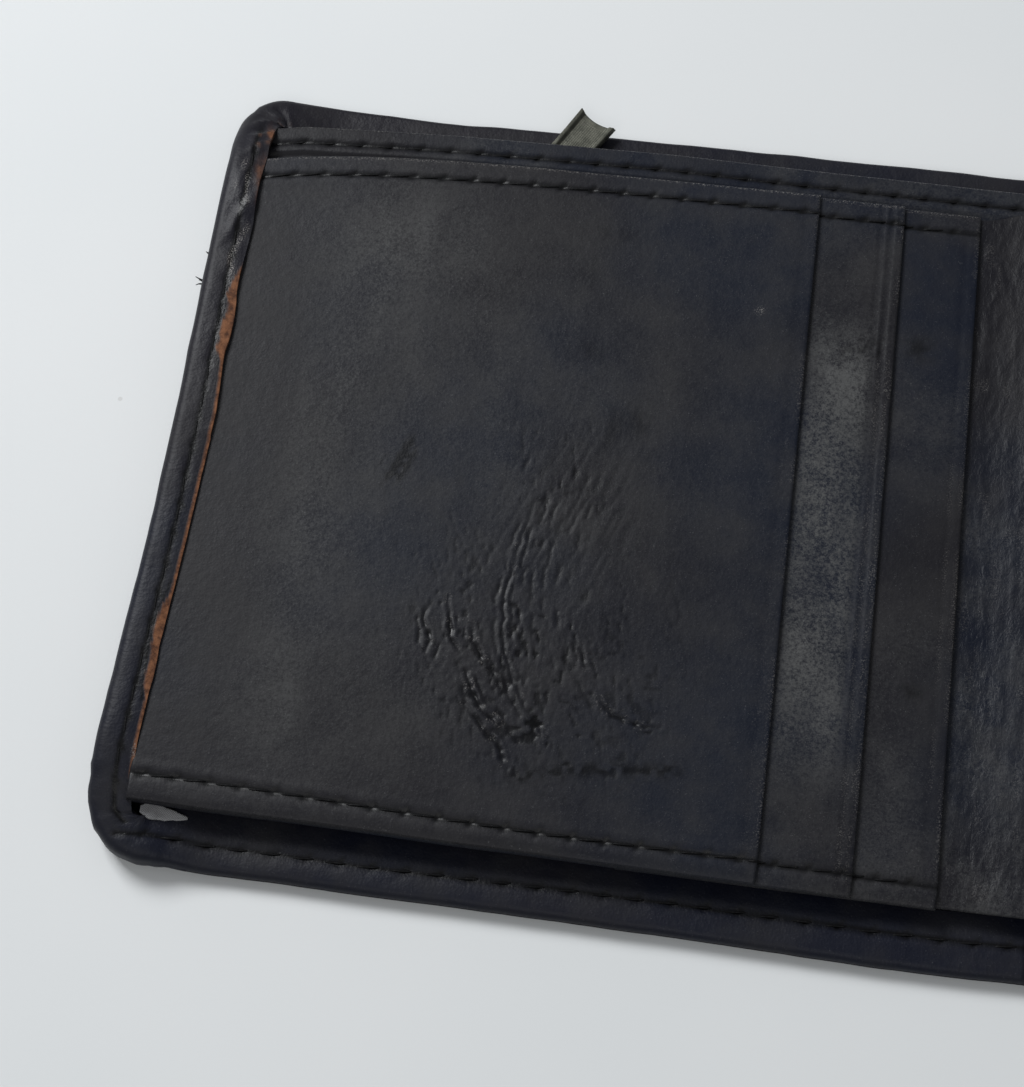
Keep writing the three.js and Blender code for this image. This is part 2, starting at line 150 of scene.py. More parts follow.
def along(u, y, points):
    """Distance to a chain of points, and how far along it from 0 to 1."""
    points = np.array(points, float)
    best, where = np.full(np.shape(u), 1e9), np.zeros(np.shape(u))
    lengths = np.linalg.norm(np.diff(points, axis=0), axis=1)
    ends = np.concatenate(([0], np.cumsum(lengths))) / lengths.sum()
    for k in range(len(points) - 1):
        a, d = points[k], points[k + 1] - points[k]
        t = np.clip(((u - a[0]) * d[0] + (y - a[1]) * d[1]) / (d @ d), 0, 1)
        gap = np.hypot(u - a[0] - t * d[0], y - a[1] - t * d[1])
        near = gap < best
        best = np.where(near, gap, best)
        where = np.where(near, ends[k] + t * (ends[k + 1] - ends[k]), where)
    return best, where


# ------------------------------------------------------------------ meshes
def samples(a, b, step, rim=0.4):
    """Places from a to b, packed closely beside both ends so that an edge can be rounded."""
    mid = np.linspace(a + rim, b - rim, max(2, int(round((b - a - 2 * rim) / step))) + 1)
    return np.concatenate((a + rim * EDGE_STEPS[:-1], mid, (b - rim * EDGE_STEPS[:-1])[::-1]))


def stretch(*spans):
    """Places along several spans in turn, each (start, end, step), ends rounded as in samples()."""
    parts = []
    for k, (a, b, step) in enumerate(spans):
        count = max(1, int(round((b - a) / step)))
        parts.append(np.linspace(a, b, count + 1)[(1 if k else 0):])
    places = np.concatenate(parts)
    a, b = places[0], places[-1]
    inner = places[(places > a + 0.45) & (places < b - 0.45)]
    return np.concatenate((a + 0.4 * EDGE_STEPS, inner, (b - 0.4 * EDGE_STEPS)[::-1]))


def sheet(grid, thick, rounded="abcd", open_sides="", relief=0.0, hole=None, rim=0.4):
    """A closed skin round a surface: grid is n by m points, thick its thickness.
    Sides a and b are the grid's first and last row, c and d its first and last column."""
    n, m = grid.shape[:2]
    normal = np.cross(np.gradient(grid, axis=0), np.gradient(grid, axis=1))
    size = np.linalg.norm(normal, axis=2, keepdims=True)
    normal = np.where(size > 1e-9, normal / np.maximum(size, 1e-9), (0.0, 0.0, -1.0))
    rows = np.concatenate((np.zeros((1, m)),
                           np.cumsum(np.linalg.norm(np.diff(grid, axis=0), axis=2), axis=0)))
    cols = np.concatenate((np.zeros((n, 1)),
                           np.cumsum(np.linalg.norm(np.diff(grid, axis=1), axis=2), axis=1)), 1)
    gaps = {"a": rows, "b": rows[-1:] - rows, "c": cols, "d": cols[:, -1:] - cols}
    round_off = np.ones((n, m))
    for side in rounded:
        round_off = np.minimum(round_off,
                               np.sqrt(np.maximum(0, 1 - (1 - np.clip(gaps[side] / rim, 0, 1)) ** 2)))
    half = (thick * 0.5 * round_off)[..., None]
    top = grid + normal * (half + (relief * round_off ** 2)[..., None] if np.ndim(relief) else half)
    bottom = grid - normal * half
    keep = np.ones((n - 1, m - 1), bool) if hole is None else ~hole
    index = np.arange(n * m).reshape(n, m)
    a, b, c, d = index[:-1, :-1], index[1:, :-1], index[1:, 1:], index[:-1, 1:]
    faces = [np.stack((a, b, c, d), -1)[keep], np.stack((d, c, b, a), -1)[keep] + n * m]
    around = np.zeros((n + 1, m + 1), bool)
    around[1:-1, 1:-1] = keep
    for side, p, q, beyond in (("c", a, b, around[1:-1, :-2]), ("b", b, c, around[2:, 1:-1]),
                               ("d", c, d, around[1:-1, 2:]), ("a", d, a, around[:-2, 1:-1])):
        wall = keep & ~beyond
        if side in open_sides:
            last = {"a": (0, slice(None)), "b": (-1, slice(None)), "c": (slice(None), 0),
                    "d": (slice(None), -1)}[side]
            wall[last] = False
        faces.append(np.stack((q, p, p + n * m, q + n * m), -1)[wall])
    return {"points": np.concatenate((top.reshape(-1, 3), bottom.reshape(-1, 3))),
            "faces": np.concatenate(faces), "rest": np.concatenate((grid.reshape(-1, 3),) * 2)}


def tube(path, radius, sides=8):
    """A round bar along a chain of points, closed at both ends. radius is a number or one for each point."""
    path = np.asarray(path, float)
    radius = np.broadcast_to(radius, len(path))
    tangent = np.gradient(path, axis=0)
    tangent /= np.linalg.norm(tangent, axis=1, keepdims=True)
    up = np.where(np.abs(tangent[:, 2:3]) > 0.9, (1.0, 0.0, 0.0), (0.0, 0.0, 1.0))
    across = np.cross(tangent, up)
    across /= np.linalg.norm(across, axis=1, keepdims=True)
    lift = np.cross(across, tangent)
    turn = np.linspace(0, 2 * np.pi, sides, endpoint=False)
    ring = across[:, None] * np.cos(turn)[None, :, None] + lift[:, None] * np.sin(turn)[None, :, None]
    points = (path[:, None] + ring * radius[:, None, None]).reshape(-1, 3)
    n = len(path)
    index = np.arange(n * sides).reshape(n, sides)
    after = np.roll(index, -1, axis=1)
    faces = [np.stack((index[:-1], index[1:], after[1:], after[:-1]), -1).reshape(-1, 4)]
    first, last = n * sides, n * sides + 1
    points = np.concatenate((points, path[:1], path[-1:]))
    faces.append(np.stack((index[0], after[0], np.full(sides, first), np.full(sides, first)), -1))
    faces.append(np.stack((after[-1], index[-1], np.full(sides, last), np.full(sides, last)), -1))
    return {"points": points, "faces": np.concatenate(faces), "rest": points.copy()}


def together(shapes):
    """Several shapes as one."""
    out, start = {"points": [], "faces": [], "rest": []}, 0
    for shape in shapes:
        out["points"].append(shape["points"])
        out["rest"].append(shape["rest"])
        out["faces"].append(shape["faces"] + start)
        start += len(shape["points"])
    return {key: np.concatenate(value) for key, value in out.items()}


def weld(shape, marks):
    """Joins points that lie on each other and drops the faces that closed up."""
    key = np.round(shape["points"] * 2000).astype(np.int64)
    _, first, back = np.unique(key, axis=0, return_index=True, return_inverse=True)
    faces = back.ravel()[shape["faces"]]
    same = faces == np.roll(faces, 1, axis=1)
    whole = faces[~same.any(axis=1)]
    closed = same.sum(axis=1) == 1
    three = faces[closed][~same[closed]].reshape(-1, 3)
    loops = np.concatenate((whole.ravel(), three.ravel()))
    starts = np.concatenate((np.arange(len(whole)) * 4, whole.size + np.arange(len(three)) * 3))
    marks = {name: value[first] for name, value in marks.items()}
    return shape["points"][first], loops, starts, shape["rest"][first], marks


def hold(obj, holder):
    """A piece on a fold has its transform baked into its mesh; any other piece rides on one part of the
    frame.
    """
    if holder in FOLDS:
        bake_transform(obj)
    else:
        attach(obj, holder)


def grain_of(seed):
    """Where a piece is cut from the hide, so that no two show the same grain."""
    return (0, 0, 7.0 * seed)


def piece(name, shape, leaf, material, replaced, holder, marks=None, grain_from=(0, 0, 0)):
    """Makes the object. marks are numbers from 0 to 1 at each point of the grid, such as wear."""
    marks = {k: np.tile(np.asarray(v, float).ravel(), 2) for k, v in (marks or {}).items()}
    points, loops, starts, rest, marks = weld(shape, marks)
    origin, hand = LEAF[leaf]
    places = points.copy()
    places[:, 0] = origin + hand * points[:, 0]
    mesh = bpy.data.meshes.new(name)
    if hand < 0:
        totals = np.diff(np.append(starts, len(loops)))
        order = np.concatenate([np.arange(s + t - 1, s - 1, -1) for s, t in zip(starts, totals)])
        loops = loops[order]
    mesh.vertices.add(len(places))
    mesh.vertices.foreach_set("co", (places / 1000).astype(np.float32).ravel())
    mesh.loops.add(len(loops))
    mesh.loops.foreach_set("vertex_index", loops.astype(np.int32))
    mesh.polygons.add(len(starts))
    mesh.polygons.foreach_set("loop_start", starts.astype(np.int32))
    mesh.polygons.foreach_set("use_smooth", np.ones(len(starts), bool))
    mesh.update(calc_edges=True)
    mesh.validate()
    grain = mesh.attributes.new("rest", "FLOAT_VECTOR", "POINT")
    grain.data.foreach_set("vector", (rest + np.array(grain_from)).astype(np.float32).ravel())
    for key, value in marks.items():
        layer = mesh.attributes.new(key, "FLOAT", "POINT")
        layer.data.foreach_set("value", np.clip(value, 0, 1).astype(np.float32))
    mesh.materials.append(material)
    obj = bpy.data.objects.new(name, mesh)
    bpy.context.scene.collection.objects.link(obj)
    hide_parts(*replaced)
    hold(obj, holder)
    return obj


# ------------------------------------------------------------------ materials
class Nodes:
    """A material under construction."""

    def __init__(self, name):
        self.material = bpy.data.materials.new(name)
        self.material.use_nodes = True
        self.tree = self.material.node_tree
        self.tree.nodes.clear()
        self.output = self.add("OutputMaterial")

    def add(self, kind, inputs=None, **settings):
        node = self.tree.nodes.new("ShaderNode" + kind)
        for key, value in settings.items():
            setattr(node, key, value)
        for key, value in (inputs or {}).items():
            self.give(node.inputs[key], value)
        return node

    def give(self, socket, value):
        if isinstance(value, bpy.types.NodeSocket):
            self.tree.links.new(value, socket)
        else:
            socket.default_value = value

    def mark(self, name):
        return self.add("Attribute", attribute_name=name).outputs["Fac"]

    def rest(self, scale):
        place = self.add("Attribute", attribute_name="rest").outputs["Vector"]
        scale = scale if isinstance(scale, tuple) else (scale,) * 3
        return self.add("Mapping", {"Vector": place, "Scale": scale}).outputs["Vector"]

    def noise(self, scale, detail=3.0, roughness=0.5, distortion=0.0):
        place = self.rest(scale)
        inputs = {"Vector": place, "Scale": 1.0, "Detail": detail, "Roughness": roughness,
                  "Distortion": distortion}
        return self.add("TexNoise", inputs).outputs["Fac"]

    def cells(self, scale, feature="F1"):
        inputs = {"Vector": self.rest(scale), "Scale": 1.0}
        return self.add("TexVoronoi", inputs, feature=feature).outputs["Distance"]

    def math(self, operation, a, b=0.0, clamp=False):
        node = self.add("Math", operation=operation, use_clamp=clamp)
        for socket, value in zip(node.inputs, (a, b)):
            self.give(socket, value)
        return node.outputs[0]

    def plus(self, a, b, clamp=False):
        return self.math("ADD", a, b, clamp)

    def times(self, a, b):
        return self.math("MULTIPLY", a, b)

    def span(self, value, low, high, to_low=0.0, to_high=1.0):
        inputs = {"Value": value, "From Min": low, "From Max": high, "To Min": to_low, "To Max": to_high}
        return self.add("MapRange", inputs, interpolation_type="SMOOTHSTEP").outputs["Result"]

    def mix(self, amount, a, b):
        node = self.add("Mix", data_type="RGBA", clamp_factor=True)
        for socket, value in ((node.inputs[0], amount), (node.inputs[6], a), (node.inputs[7], b)):
            if isinstance(value, tuple):
                value = value + (1.0,)
            self.give(socket, value)
        return node.outputs[2]

    def bump(self, height, strength, distance, normal=None):
        inputs = {"Height": height, "Strength": strength, "Distance": distance / 1000}
        if normal is not None:
            inputs["Normal"] = normal
        return self.add("Bump", inputs).outputs["Normal"]

    def surface(self, **inputs):
        node = self.add("BsdfPrincipled", {k.replace("_", " "): v for k, v in inputs.items()})
        self.tree.links.new(node.outputs[0], self.output.inputs["Surface"])
        return self.material


def leather(name, cool, warm, matt, grain):
    """Old black leather. Marks: bloom is dusty greying, wear is where the black has gone down to the brown,
    dark is grease, stains, cracks and dents, and also painted shade in the stitch grooves, pale is torn
    fibres and pale specks, and also painted highlights and glints along edges, creases and cracks, gloss is
    rubbed smooth, wrinkle is fine creasing."""
    n = Nodes(name)
    tint = n.noise(0.022, 2, 0.5)
    cloud = n.noise(0.13, 4, 0.6)
    mottle = n.noise(0.9, 4, 0.65)
    dust = n.noise(5.5, 3, 0.7)
    colour = n.mix(n.span(tint, 0.38, 0.62), cool, warm)
    colour = n.mix(n.span(cloud, 0.35, 0.75, 0.0, 0.45), colour, (0.019, 0.018, 0.019))
    speck = n.noise(2.3, 2, 0.6)
    patchy = n.plus(n.times(cloud, 0.6), n.times(n.plus(dust, speck), 0.75))
    bloom = n.times(n.mark("bloom"), n.span(patchy, 0.80, 1.28))
    colour = n.mix(bloom, colour, (0.072, 0.073, 0.073))
    fleck = n.times(n.span(dust, 0.60, 0.70), n.span(mottle, 0.42, 0.60))
    colour = n.mix(n.times(fleck, 0.30), colour, (0.16, 0.16, 0.165))
    # dark darkens towards black: grease, stains and cracks, and painted shade in the stitch grooves
    dark = n.mark("dark")
    colour = n.mix(dark, colour, (0.0015, 0.0015, 0.002))
    wear = n.times(n.mark("wear"), n.span(n.plus(mottle, n.times(dust, 0.5)), 0.38, 0.68))
    brown = n.mix(n.span(mottle, 0.35, 0.65), (0.070, 0.027, 0.013), (0.200, 0.085, 0.040))
    colour = n.mix(wear, colour, brown)
    # pale lightens towards grey-white: torn fibres, and painted highlights and glints on edges, creases and
    # cracks
    pale = n.times(n.mark("pale"), n.span(dust, 0.52, 0.62))
    colour = n.mix(pale, colour, (0.34, 0.32, 0.30))
    roughness = n.plus(n.span(cloud, 0.3, 0.7, matt - 0.03, matt + 0.06), n.times(n.mark("gloss"), -0.17))
    roughness = n.plus(roughness, n.times(wear, 0.25), clamp=True)
    roughness = n.plus(roughness, n.times(dark, -0.16), clamp=True)
    pebble = n.cells((1.25, 1.0, 1.2), "SMOOTH_F1")
    fine = n.cells(3.1, "F1")
    streak = n.noise((1.7, 0.85, 1.0), 3, 0.6, 1.3)
    lump = n.noise(0.33, 3, 0.5)
    height = n.plus(n.times(pebble, 0.55 * grain), n.times(fine, 0.30 * grain))
    height = n.plus(height, n.times(mottle, 0.9))
    height = n.plus(height, n.times(n.times(streak, n.mark("wrinkle")), 1.9))
    height = n.plus(height, n.times(n.times(dust, wear), 1.6))
    normal = n.bump(lump, 0.10, 0.5)
    normal = n.bump(height, 0.55, 0.085, normal)
    return n.surface(Base_Color=colour, Roughness=roughness, Normal=normal, IOR=1.46, Sheen_Weight=0.02,
                     Sheen_Roughness=0.4, Specular_IOR_Level=0.24)


def cloth(name, light, shade, weave):
    n = Nodes(name)
    place = n.add("SeparateXYZ", {"Vector": n.rest(weave)})
    warp, weft = (n.math("SINE", n.times(place.outputs[axis], 6.283)) for axis in "XY")
    cross = n.times(warp, weft)
    cloud = n.noise(0.2, 4, 0.6)
    colour = n.mix(n.span(cross, -1, 1), shade, light)
    colour = n.mix(n.span(cloud, 0.35, 0.7, 0, 0.35), colour, tuple(min(1, c * 1.8) for c in light))
    normal = n.bump(cross, 0.5, 0.08)
    return n.surface(Base_Color=colour, Roughness=n.span(cloud, 0.2, 0.8, 0.7, 0.86), Normal=normal,
                     Sheen_Weight=0.2, Sheen_Roughness=0.5)


def thread(name):
    n = Nodes(name)
    ply = n.noise((1.2, 6.0, 3.0), 2, 0.5, 0.8)
    fuzz = n.noise(4.0, 3, 0.7)
    colour = n.mix(n.span(fuzz, 0.35, 0.7), (0.001, 0.001, 0.0015), (0.004, 0.004, 0.005))
    colour = n.mix(n.times(n.span(fuzz, 0.64, 0.71), 0.30), colour, (0.13, 0.12, 0.115))
    return n.surface(Base_Color=colour, Roughness=n.span(ply, 0.3, 0.7, 0.60, 0.80),
                     Normal=n.bump(ply, 0.6, 0.12),
                     Specular_IOR_Level=0.2)


def metal(name, light, shade, shine):
    n = Nodes(name)
    cloud = n.noise(0.6, 4, 0.6)
    grit = n.noise(5.0, 4, 0.7)
    scratch = n.noise((0.8, 9.0, 4.0), 3, 0.6)
    colour = n.mix(n.span(cloud, 0.35, 0.65), shade, light)
    colour = n.mix(n.times(n.span(grit, 0.55, 0.72), 0.6), colour, tuple(c * 0.45 for c in shade))
    height = n.plus(grit, n.times(scratch, 0.6))
    return n.surface(Base_Color=colour, Roughness=n.span(grit, 0.3, 0.7, shine, shine + 0.18), Metallic=0.85,
                     Normal=n.bump(height, 0.4, 0.05))


def nylon(name):
    n = Nodes(name)
    cloud = n.noise(1.3, 3, 0.6)
    colour = n.mix(n.span(cloud, 0.3, 0.7), (0.006, 0.006, 0.007), (0.016, 0.016, 0.018))
    return n.surface(Base_Color=colour, Roughness=n.span(cloud, 0.3, 0.7, 0.28, 0.42),
                     Normal=n.bump(n.noise(3.0, 2), 0.2, 0.03))


def film(name):
    n = Nodes(name)
    haze = n.noise(0.12, 4, 0.6)
    scuff = n.noise((0.25, 6.0, 1.0), 4, 0.65, 0.5)
    colour = n.mix(n.span(haze, 0.3, 0.7), (0.88, 0.90, 0.89), (0.95, 0.96, 0.95))
    return n.surface(Base_Color=colour, Transmission_Weight=1.0, IOR=1.45,
                     Roughness=n.span(scuff, 0.5, 0.75, 0.06, 0.3), Normal=n.bump(haze, 0.25, 0.8))


def table_top(name):
    n = Nodes(name)
    place = n.add("TexCoord").outputs["Object"]
    cloud = n.add("TexNoise", {"Vector": place, "Scale": 14.0, "Detail": 3.0}).outputs["Fac"]
    grit = n.add("TexNoise", {"Vector": place, "Scale": 2600.0, "Detail": 2.0}).outputs["Fac"]
    speck = n.add("TexVoronoi", {"Vector": place, "Scale": 34.0}).outputs["Distance"]
    colour = n.mix(n.span(cloud, 0.35, 0.65), (0.715, 0.735, 0.742), (0.735, 0.750, 0.755))
    colour = n.mix(n.span(speck, 0.013, 0.009, 0.0, 0.35), colour, (0.42, 0.40, 0.38))
    return n.surface(Base_Color=colour, Roughness=n.span(grit, 0.3, 0.7, 0.62, 0.72),
                     Normal=n.bump(grit, 0.10, 0.05))


OUTER = leather("outer_leather", (0.0046, 0.0060, 0.0140), (0.0078, 0.0070, 0.0115), 0.47, 1.3)
INNER = leather("inner_leather", (0.0036, 0.0060, 0.0140), (0.0074, 0.0070, 0.0098), 0.50, 0.60)
FABRIC = cloth("lining_fabric", (0.020, 0.020, 0.023), (0.008, 0.008, 0.010), 1.6)
THREAD = thread("thread")
BOARD = cloth("torn_stiffener", (0.30, 0.30, 0.31), (0.12, 0.12, 0.125), 3.7)
METAL = metal("zip_metal", (0.112, 0.112, 0.092), (0.062, 0.063, 0.052), 0.40)
NYLON = nylon("zip_coil")
FILM = film("window_film")
TABLE = table_top("table_top")


# ------------------------------------------------------------------ the outer leather and its turned hems
def outline(mid):
    """The edge of a leaf from the middle of the fold along the top, round the free end and back below:
    its points, the direction inwards, and the u of the point of the middle line that each belongs to."""
    r, half = CORNER, HALF
    run = np.linspace(mid, r + 0.1, int((mid - r) / 0.62))
    turn = np.linspace(0, np.pi / 2, 13)
    side = np.linspace(half - r, r - half, 151)[1:-1]
    sin, cos = np.sin(turn), np.cos(turn)
    u = np.concatenate((run, r - r * sin[1:], 0 * side, r - r * cos[:-1], run[::-1]))
    y = np.concatenate((0 * run + half, half - r + r * cos[1:], side, r - half - r * sin[:-1],
                        0 * run - half))
    inward_u = np.concatenate((0 * run, sin[1:], 0 * side + 1, cos[:-1], 0 * run))
    inward_y = np.concatenate((0 * run - 1, -cos[1:], 0 * side, sin[:-1], 0 * run + 1))
    inward = np.stack((inward_u, inward_y), 1)
    middle = np.maximum(u, 50.0)
    y = y + np.where(y > 50, 0.4 * ramp(u, 30, 6) + HIGH_EDGE * ramp(u, 20, 80), 0.0)
    low = ramp(y, 0.0, -46.0)
    u = u - (SIDE_BULGE + 1.1 * low) * bell(u, r) * ramp(np.abs(y), 53.0 + 2.0 * low, 44.0)
    y = y - np.where(y < -46, 0.5 + (LOW_EDGE - 0.5) * ramp(u, 10, 100), 0.0)
    return u, y, inward, middle


TOP_HEM, BOTTOM_HEM = 1.27, 2.0             # height of the hems' middle surface
TOP_HEM_WIDTH, BOTTOM_HEM_WIDTH, SIDE_HEM_WIDTH = 7.8, 7.1, 4.7
SIDE_SEAM = 2.9                             # from the free edge to its stitches
SIDE_BULGE = 0.9                            # how far the free edge is pushed out in the middle
OUTER_THICK = 0.78


def leaf_leather(mid, side_z, seed):
    """Points from the middle line of a leaf's plate out to its edge, up and over to the hem's cut edge."""
    u, y, inward, middle = outline(mid)
    n = len(u)
    climb = np.where(y > 0, ramp(u, 11.0, 3.0), ramp(u, 12.0, 4.5))
    on_side = ramp(np.abs(y), 51.5, 40.0)
    base_z = np.where(y > 0, TOP_HEM, BOTTOM_HEM)
    crown = np.where(y > 0, 0.30, 0.42) * (side_z - base_z) * climb
    height = base_z + crown + (side_z - base_z - crown) * on_side * (u < 4)
    height = np.convolve(np.pad(height, 6, mode="edge"), np.ones(13) / 13, "valid")
    width = np.where(y > 0, TOP_HEM_WIDTH, BOTTOM_HEM_WIDTH)
    width = width + (SIDE_HEM_WIDTH - width) * ramp(u, 9.0, 3.0)
    width = np.convolve(np.pad(width, 6, mode="edge"), np.ones(13) / 13, "valid")
    width = width + 0.35 * rough(np.arange(n) * 0.62, 0 * u, 7.0, seed) * ramp(u, 14.0, 6.0)
    length = np.concatenate(([0.0], np.cumsum(np.hypot(np.diff(u), np.diff(y)))))
    wave = rough(length, 0 * u, 9.0, seed + 3)
    out = (0.18 * wave + 0.25 * noise(length / 31.0, 0 * u, seed + 5)) * ramp(u, mid - 1, mid - 8)
    radius = np.minimum(0.95, (height - PLATE) / 2 - 0.02)
    arc = np.linspace(0, np.pi / 2, 6)
    flange = np.concatenate((np.linspace(0, 1, 15)[1:-1] ** 0.9, [0.965, 0.985, 0.996, 1.0]))
    grid, depth = [], []
    for k in range(n):
        r, h, w = radius[k], height[k], width[k]
        edge = np.array((u[k], y[k])) - inward[k] * out[k]
        inner = np.array((middle[k], 0.0))
        start = edge + inward[k] * r
        plate = [inner + (start - inner) * t for t in (0.0, 0.25, 0.5, 0.72, 0.88, 0.96)]
        plate = [(p[0], p[1], PLATE) for p in plate]
        offsets = [(r - r * np.sin(a), PLATE + r - r * np.cos(a)) for a in arc]
        offsets += [(-0.10 * np.sin(np.pi * t), PLATE + r + (h - PLATE - 2 * r) * t) for t in (0.33, 0.67)]
        offsets += [(r - r * np.cos(a), h - r + r * np.sin(a)) for a in arc]
        drop = 0.35 if y[k] <= 0 else 0.12
        offsets += [(r + (w - r) * f, h - drop * f ** 2) for f in flange]
        rim = [(edge[0] + inward[k][0] * o, edge[1] + inward[k][1] * o, z) for o, z in offsets]
        grid.append(plate + rim)
        depth.append([-1.0] * len(plate) + [o for o, _ in offsets])
    grid, depth = np.array(grid), np.array(depth)
    return grid, depth, length, y, width


STITCH = 3.9                                # from one needle hole to the next
STITCH_LEAN = 5.0                           # degrees off the line of the seam
THREAD_RADIUS = 0.13


def hole_distance(along_seam, off_seam):
    """Distance to the nearest slanted slit that a stitch goes down."""
    slant = (along_seam - 0.55 * off_seam) % STITCH
    return np.minimum(slant, STITCH - slant)


def seam_pits(along_seam, off_seam, deep=0.17):
    """The groove that a row of stitches pulls into the leather, with a slit at each hole."""
    pits = np.exp(-((hole_distance(along_seam, off_seam) / 0.42) ** 2) - (off_seam / 0.62) ** 2)
    groove = bell(off_seam, 0.34)
    pucker = bell(np.abs(off_seam) - 1.1, 0.5)
    return -deep * (1.0 * groove + 0.9 * pits) + 0.04 * pucker


def seam_dark(along_seam, off_seam):
    """Shade gathered in that groove and in its slits."""
    slit = np.exp(-((hole_distance(along_seam, off_seam) / 0.40) ** 2) - ((off_seam - 0.12) / 0.55) ** 2)
    return np.clip(1.2 * bell(off_seam, 0.30) + 1.2 * slit, 0, 1)


def stitches(name, leaf, points, replaced, holder):
    """A row of stitches along a chain of points that lie on the leather."""
    points = np.asarray(points, float)
    run = np.concatenate(([0.0], np.cumsum(np.linalg.norm(np.diff(points, axis=0), axis=1))))
    spread = np.linspace(0, 1, 9)
    from_middle = np.abs(spread * 2 - 1)
    shapes = []
    for k in range(int(run[-1] // STITCH)):
        wobble = lattice(np.array(k), np.array(7), 91) - 0.5
        s = k * STITCH + 0.45 + spread * (STITCH - 0.95 + 0.25 * wobble)
        path = np.stack([np.interp(s, run, points[:, i]) for i in range(3)], 1)
        run_dir = path[-1] - path[0]
        run_dir /= np.linalg.norm(run_dir)
        side = np.array((-run_dir[1], run_dir[0], 0.0))
        path += side * ((spread - 0.5) * np.tan(np.radians(STITCH_LEAN + 5 * wobble)) * (STITCH - 1))[:, None]
        path[:, 2] += 0.05 * np.sin(np.pi * spread) ** 0.7 - 0.20 * from_middle ** 6 - 0.13
        shapes.append(tube(path, THREAD_RADIUS * (1 - 0.55 * from_middle ** 4), 7))
    piece(name, together(shapes), leaf, THREAD, replaced, holder)


